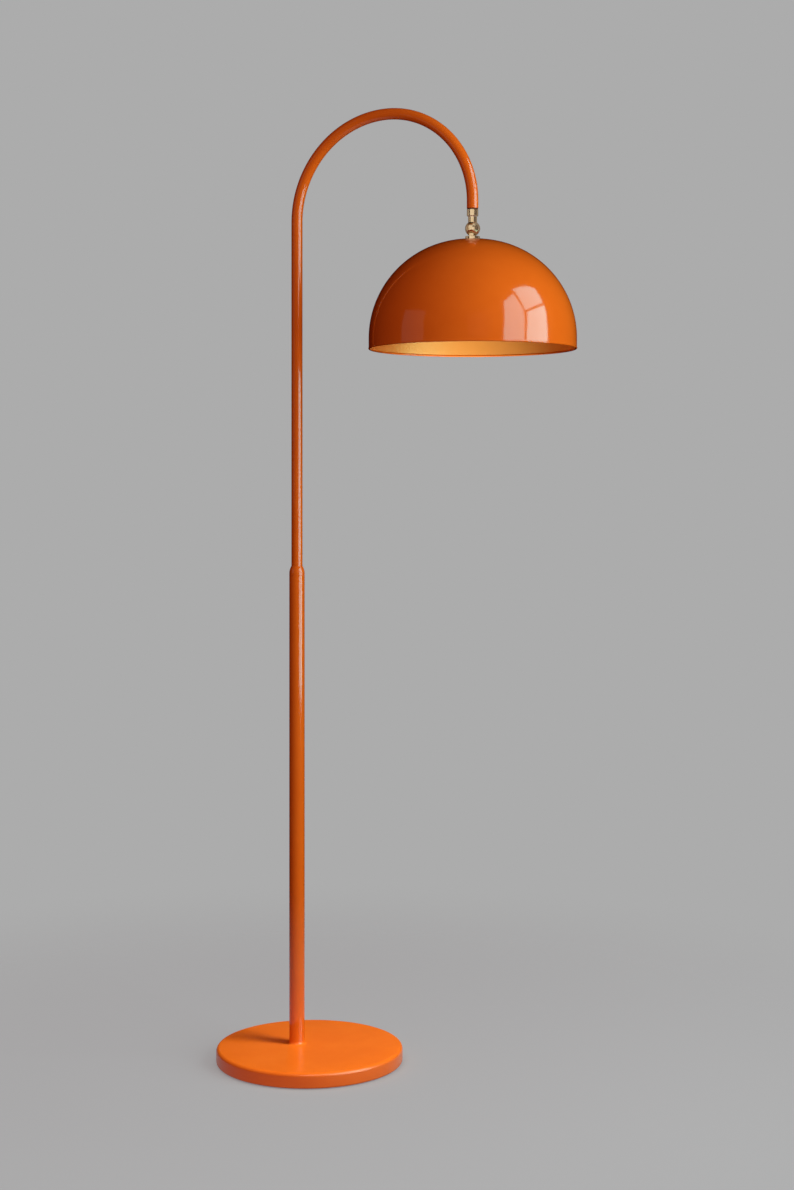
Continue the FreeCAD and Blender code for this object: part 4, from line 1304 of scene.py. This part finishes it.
@dataclass(frozen=True)
class Soft:
    """A soft rectangular light that is itself neither seen nor mirrored.

    Attributes:
        name: its name.
        place: where it hangs, m.
        target: what it looks at, m.
        size: width and height, m.
        power: W.
        spread: how wide its honeycomb grid lets it shine, degrees.
        only: the pieces that take its light, or none for everything.
        colour: its colour, linear.
        off_floor: True where a flag keeps it off the floor.
    """

    name: str
    place: Place
    target: Place
    size: Span
    power: float
    spread: float = 180.0
    only: tuple[str, ...] = ()
    colour: Place = (1.0, 1.0, 1.0)
    off_floor: bool = False


@dataclass
class Studio:
    """The plain floor and backdrop, the lights and the camera.

    Attributes:
        grey: sRGB hex grey of the backdrop.
        room: light that the walls throw back, linear.
        tent: radius of the tent round the set, m.
        tent_glow: radiance of the tent's dark and pale sides, which the brass sees.
        tent_rise: how far above level the middle of its pale side is, degrees.
        tent_turn: how far that side reaches round, as cosines of its edge and its middle.
        floor_grey: sRGB hex grey of the floor.
        floor_own: share of the floor's grey that no light or shadow changes.
        floor_radius: radius of the floor disc, m.
        fade: where the floor thins out into the backdrop, m from its middle.
        away: distance of the panes' planes, m.
        daylight: colour of the panes, linear.
        panes: the window's panes, and cards in front of the base and on the left.
        softs: the soft lights.
        eye: the camera's place, m.
        heading: the camera's heading from +Y towards -X, degrees.
        lens: focal length on a 36 mm tall frame, mm.
        shift: upward shift of the frame.
    """

    BRASS: ClassVar[tuple[str, ...]] = (
        "brass_band", "ball_fork", "slotted_screw", "brass_tongue", "turned_seat")
    COVER: ClassVar[tuple[str, ...]] = ("spun_base_cover", "foot_fillet")
    ENAMELLED: ClassVar[tuple[str, ...]] = (
        *COVER, "lower_tube", "shoulder_collar", "bent_arm_tube", "spun_shade")
    FRAME_TALL: ClassVar[float] = 36.0

    grey: str = "ACACAC"
    room: Place = (0.128, 0.038, 0.045)
    tent: float = 4.5
    tent_glow: Span = (0.26, 1.1)
    tent_rise: float = 18.0
    tent_turn: Span = (0.0, 0.97)
    floor_grey: str = "D2DFDF"
    floor_own: float = 0.5
    floor_radius: float = 1.5
    fade: Span = (0.35, 1.425)
    away: float = 2.6
    daylight: Place = (0.38, 1.0, 1.02)
    panes: tuple[Pane, ...] = (
        Pane("left_pane", 90.0, ((-1.62, 0.3), (-0.45, 0.3), (-0.45, 1.32), (-0.32, 2.2),
                                 (-0.48, 3.32), (-1.31, 2.99), (-1.6, 1.35)), 4.7),
        Pane("right_pane", 90.0, ((-0.35, 0.3), (0.84, 0.3), (0.84, 1.66), (1.08, 2.41),
                                  (-0.17, 2.12), (-0.35, 1.32)), 7.3),
        Pane("upper_pane", 90.0, ((-0.24, 2.21), (1.06, 2.52), (1.19, 3.37), (0.6, 3.68),
                                  (-0.35, 3.63)), 5.6),
        Pane("edge_card", 38.0, ((-1.0, 2.2), (0.9, 2.2), (0.9, 3.6), (-1.0, 3.6)), 6.0, COVER),
        Pane("left_card", -48.0, ((-0.35, 0.9), (1.1, 0.9), (1.0, 2.5), (-0.4, 2.4)), 0.25),
    )
    softs: tuple[Soft, ...] = (
        Soft("window_light", (2.6, -0.2, 1.6), (0.0, -0.2, 1.1), (2.6, 2.5), 48.0),
        Soft("camera_light", (2.05, -2.95, 1.9), (0.15, 0.03, 1.0), (1.6, 1.6), 34.0,
             colour=(1.0, 0.58, 0.6), off_floor=True),
        Soft("back_light", (-1.2, 3.2, 0.8), (0.15, 0.03, 0.9), (1.6, 1.6), 45.0,
             colour=(1.0, 0.7, 0.7), off_floor=True),
        Soft("floor_light", (0.0, -0.5, 3.0), (0.0, -0.5, 0.0), (3.0, 3.0), 38.0, only=(FLOOR,)),
        Soft("base_light", (0.34, 0.0, 0.95), (0.0, 0.0, 0.0), (0.17, 0.17), 7.6, only=COVER),
        Soft("edge_light", (-0.5, -2.4, 0.3), (0.0, 0.0, 0.0), (1.0, 0.5), 8.0, only=COVER,
             colour=(1.0, 0.55, 0.45)),
        Soft("shade_light", (0.392, -0.122, 0.898), (0.207, 0.145, 1.158), (0.06, 0.06), 0.165,
             48.0, ("spun_shade", "globe_glass", "holder_barrel")),
    )
    eye: Place = (1.4233, -2.7157, 0.9235)
    heading: float = 25.0
    lens: float = 56.92
    shift: float = -0.0855

    def build(self) -> None:
        """Builds the studio."""
        self.backdrop()
        self.brass_tent()
        self.floor()
        for pane in self.panes:
            self.glaze(pane)
        for soft in self.softs:
            self.hang(soft)
        self.camera()

    def backdrop(self) -> None:
        """An even grey all round, which lights the lamp only as dimly as a room's walls."""
        world = bpy.data.worlds.new("studio")
        bpy.context.scene.world = world
        graph = Graph(world)
        path = graph.add("LightPath")
        seen = path["Is Camera Ray"]
        for ray in ("Is Glossy Ray", "Is Transmission Ray"):
            seen = graph.add("Math", {"operation": "MAXIMUM"}, {0: seen, 1: path[ray]})[0]
        wall, paper = (graph.add("Background", inputs={"Color": colour, "Strength": 1.0})[0]
                       for colour in ((*self.room, 1.0), linear(self.grey)))
        mixed = graph.add("MixShader", inputs={0: seen, 1: wall, 2: paper})[0]
        graph.add("OutputWorld", inputs={"Surface": mixed})
        bpy.context.scene.view_settings.view_transform = "Standard"

    def group(self, name: str, pieces: Sequence[str],
              kept_off: bool = False) -> bpy.types.Collection:
        """A collection of the only pieces that a light reaches, or of those that it is kept off.

        Args:
            name: its name.
            pieces: the pieces' names.
            kept_off: True where the light is kept off them.

        Returns:
            The collection.
        """
        made = bpy.data.collections.new(name)
        for place, piece in enumerate(pieces):
            made.objects.link(bpy.data.objects[piece])
            if kept_off:
                made.collection_objects[place].light_linking.link_state = "EXCLUDE"
        return made

    def mirrored(self, thing: Piece, pieces: Sequence[str]) -> Graph:
        """Leaves a stage piece to the reflections in some of the lamp's pieces.

        Args:
            thing: the stage piece.
            pieces: names of the pieces that mirror it.

        Returns:
            The empty graph of its material.
        """
        paint = bpy.data.materials.new(thing.name)
        graph = Graph(paint)
        thing.data.materials.append(paint)
        thing.visible_camera = thing.visible_diffuse = thing.visible_transmission = False
        thing.visible_shadow = thing.visible_volume_scatter = False
        thing.light_linking.receiver_collection = self.group(thing.name, pieces)
        return graph

    def brass_tent(self) -> None:
        """A tent round the set for the brass, pale towards -Y and dark behind."""
        tent = begun("uv_sphere", "tent", segments=96, ring_count=48, radius=self.tent)
        graph = self.mirrored(tent, self.BRASS)
        pale_side = Vector((0.0, -1.0, math.tan(math.radians(self.tent_rise)))).normalized()
        ahead = graph.add("VectorMath", {"operation": "DOT_PRODUCT"}, {
            0: graph.add("TexCoord")["Object"], 1: pale_side / self.tent,
        })["Value"]
        graph.glow((1.0, 1.0, 1.0), graph.ramp(ahead, self.tent_turn, self.tent_glow, "SMOOTHSTEP"))

    def floor(self) -> None:
        """A pale disc that thins out into the backdrop, so that no horizon shows."""
        disc = begun("circle", FLOOR, vertices=128, radius=self.floor_radius, fill_type="NGON")
        paint = bpy.data.materials.new("studio_paint")
        graph = Graph(paint)
        place = graph.add("TexCoord")["Object"]
        away = graph.add("VectorMath", {"operation": "LENGTH"}, {0: place})["Value"]
        matt = graph.add("BsdfDiffuse", inputs={"Color": linear(self.floor_grey)})[0]
        own = graph.add("Emission", inputs={"Color": linear(self.grey), "Strength": 1.0})[0]
        lit = graph.add("MixShader", inputs={0: self.floor_own, 1: matt, 2: own})[0]
        mixed = graph.add("MixShader", inputs={
            0: graph.ramp(away, self.fade, curve="SMOOTHSTEP"), 1: lit,
            2: graph.add("BsdfTransparent")[0],
        })[0]
        graph.add("OutputMaterial", inputs={"Surface": mixed})
        disc.data.materials.append(paint)
        disc.visible_diffuse = False

    def glaze(self, pane: Pane) -> None:
        """Draws one pane of the window.

        Args:
            pane: its plane, corners and brightness.
        """
        start, *rest = ((along / MM, up / MM) for along, up in pane.corners)
        pen = Pen(pane.name, (0.0, 0.0), start)
        for corner in rest:
            pen.line(*corner)
        bpy.ops.mesh.select_all(action="SELECT")
        bpy.ops.mesh.edge_face_add()
        bpy.ops.object.mode_set(mode="OBJECT")
        turn = math.radians(pane.heading)
        away = self.away / MM
        settled(pen.piece, (0.0, 0.0, turn), (away * math.sin(turn), -away * math.cos(turn), 0.0))
        self.mirrored(pen.piece, pane.only or self.ENAMELLED).glow(self.daylight, pane.bright)

    def hang(self, soft: Soft) -> None:
        """Hangs one soft light.

        Args:
            soft: its place, size and power.
        """
        data = bpy.data.lights.new(soft.name, "AREA")
        data.shape = "RECTANGLE"
        data.size, data.size_y = soft.size
        data.energy = soft.power
        data.spread = math.radians(soft.spread)
        data.color = soft.colour
        light = bpy.data.objects.new(soft.name, data)
        bpy.context.scene.collection.objects.link(light)
        light.location = soft.place
        way = Vector(soft.target) - Vector(soft.place)
        light.rotation_euler = way.to_track_quat("-Z", "Y").to_euler()
        light.visible_camera = light.visible_glossy = False
        if soft.only or soft.off_floor:
            light.light_linking.receiver_collection = self.group(
                soft.name, soft.only or (FLOOR,), kept_off=soft.off_floor)

    def camera(self) -> None:
        """The camera, level, where the photograph's was."""
        data = bpy.data.cameras.new("camera")
        data.sensor_fit = "VERTICAL"
        data.sensor_height = self.FRAME_TALL
        data.lens = self.lens
        data.shift_y = self.shift
        camera = bpy.data.objects.new("camera", data)
        bpy.context.scene.collection.objects.link(camera)
        camera.location = self.eye
        camera.rotation_euler = (QUARTER, 0.0, math.radians(self.heading))
        bpy.context.scene.camera = camera


def repaint() -> None:
    """Gives every node of the frame the finish that the record names for it."""
    known = {finish.name: finish for finish in FINISHES}
    plain = {}
    for paint in list(bpy.data.materials):
        plain[paint] = known[paint.name]
        paint.name = "frame_" + paint.name
    for node, thing in frame["nodes"].items():
        finish = plain[thing.material_slots[0].material]
        thing.material_slots[0].material = finish.material()
        LOG.info("%s is in %s", node, finish.name)
    for paint in plain:
        bpy.data.materials.remove(paint)


def main() -> None:
    """Builds the lamp and the studio."""
    logging.basicConfig(level=logging.INFO, format="%(message)s")
    repaint()
    for part in (Base(), Pole(), Arm(), Swivel(), Shade(), Lampholder(), Studio()):
        LOG.info("building %s", type(part).__name__)
        part.build()


if __name__ == "__main__":
    main()
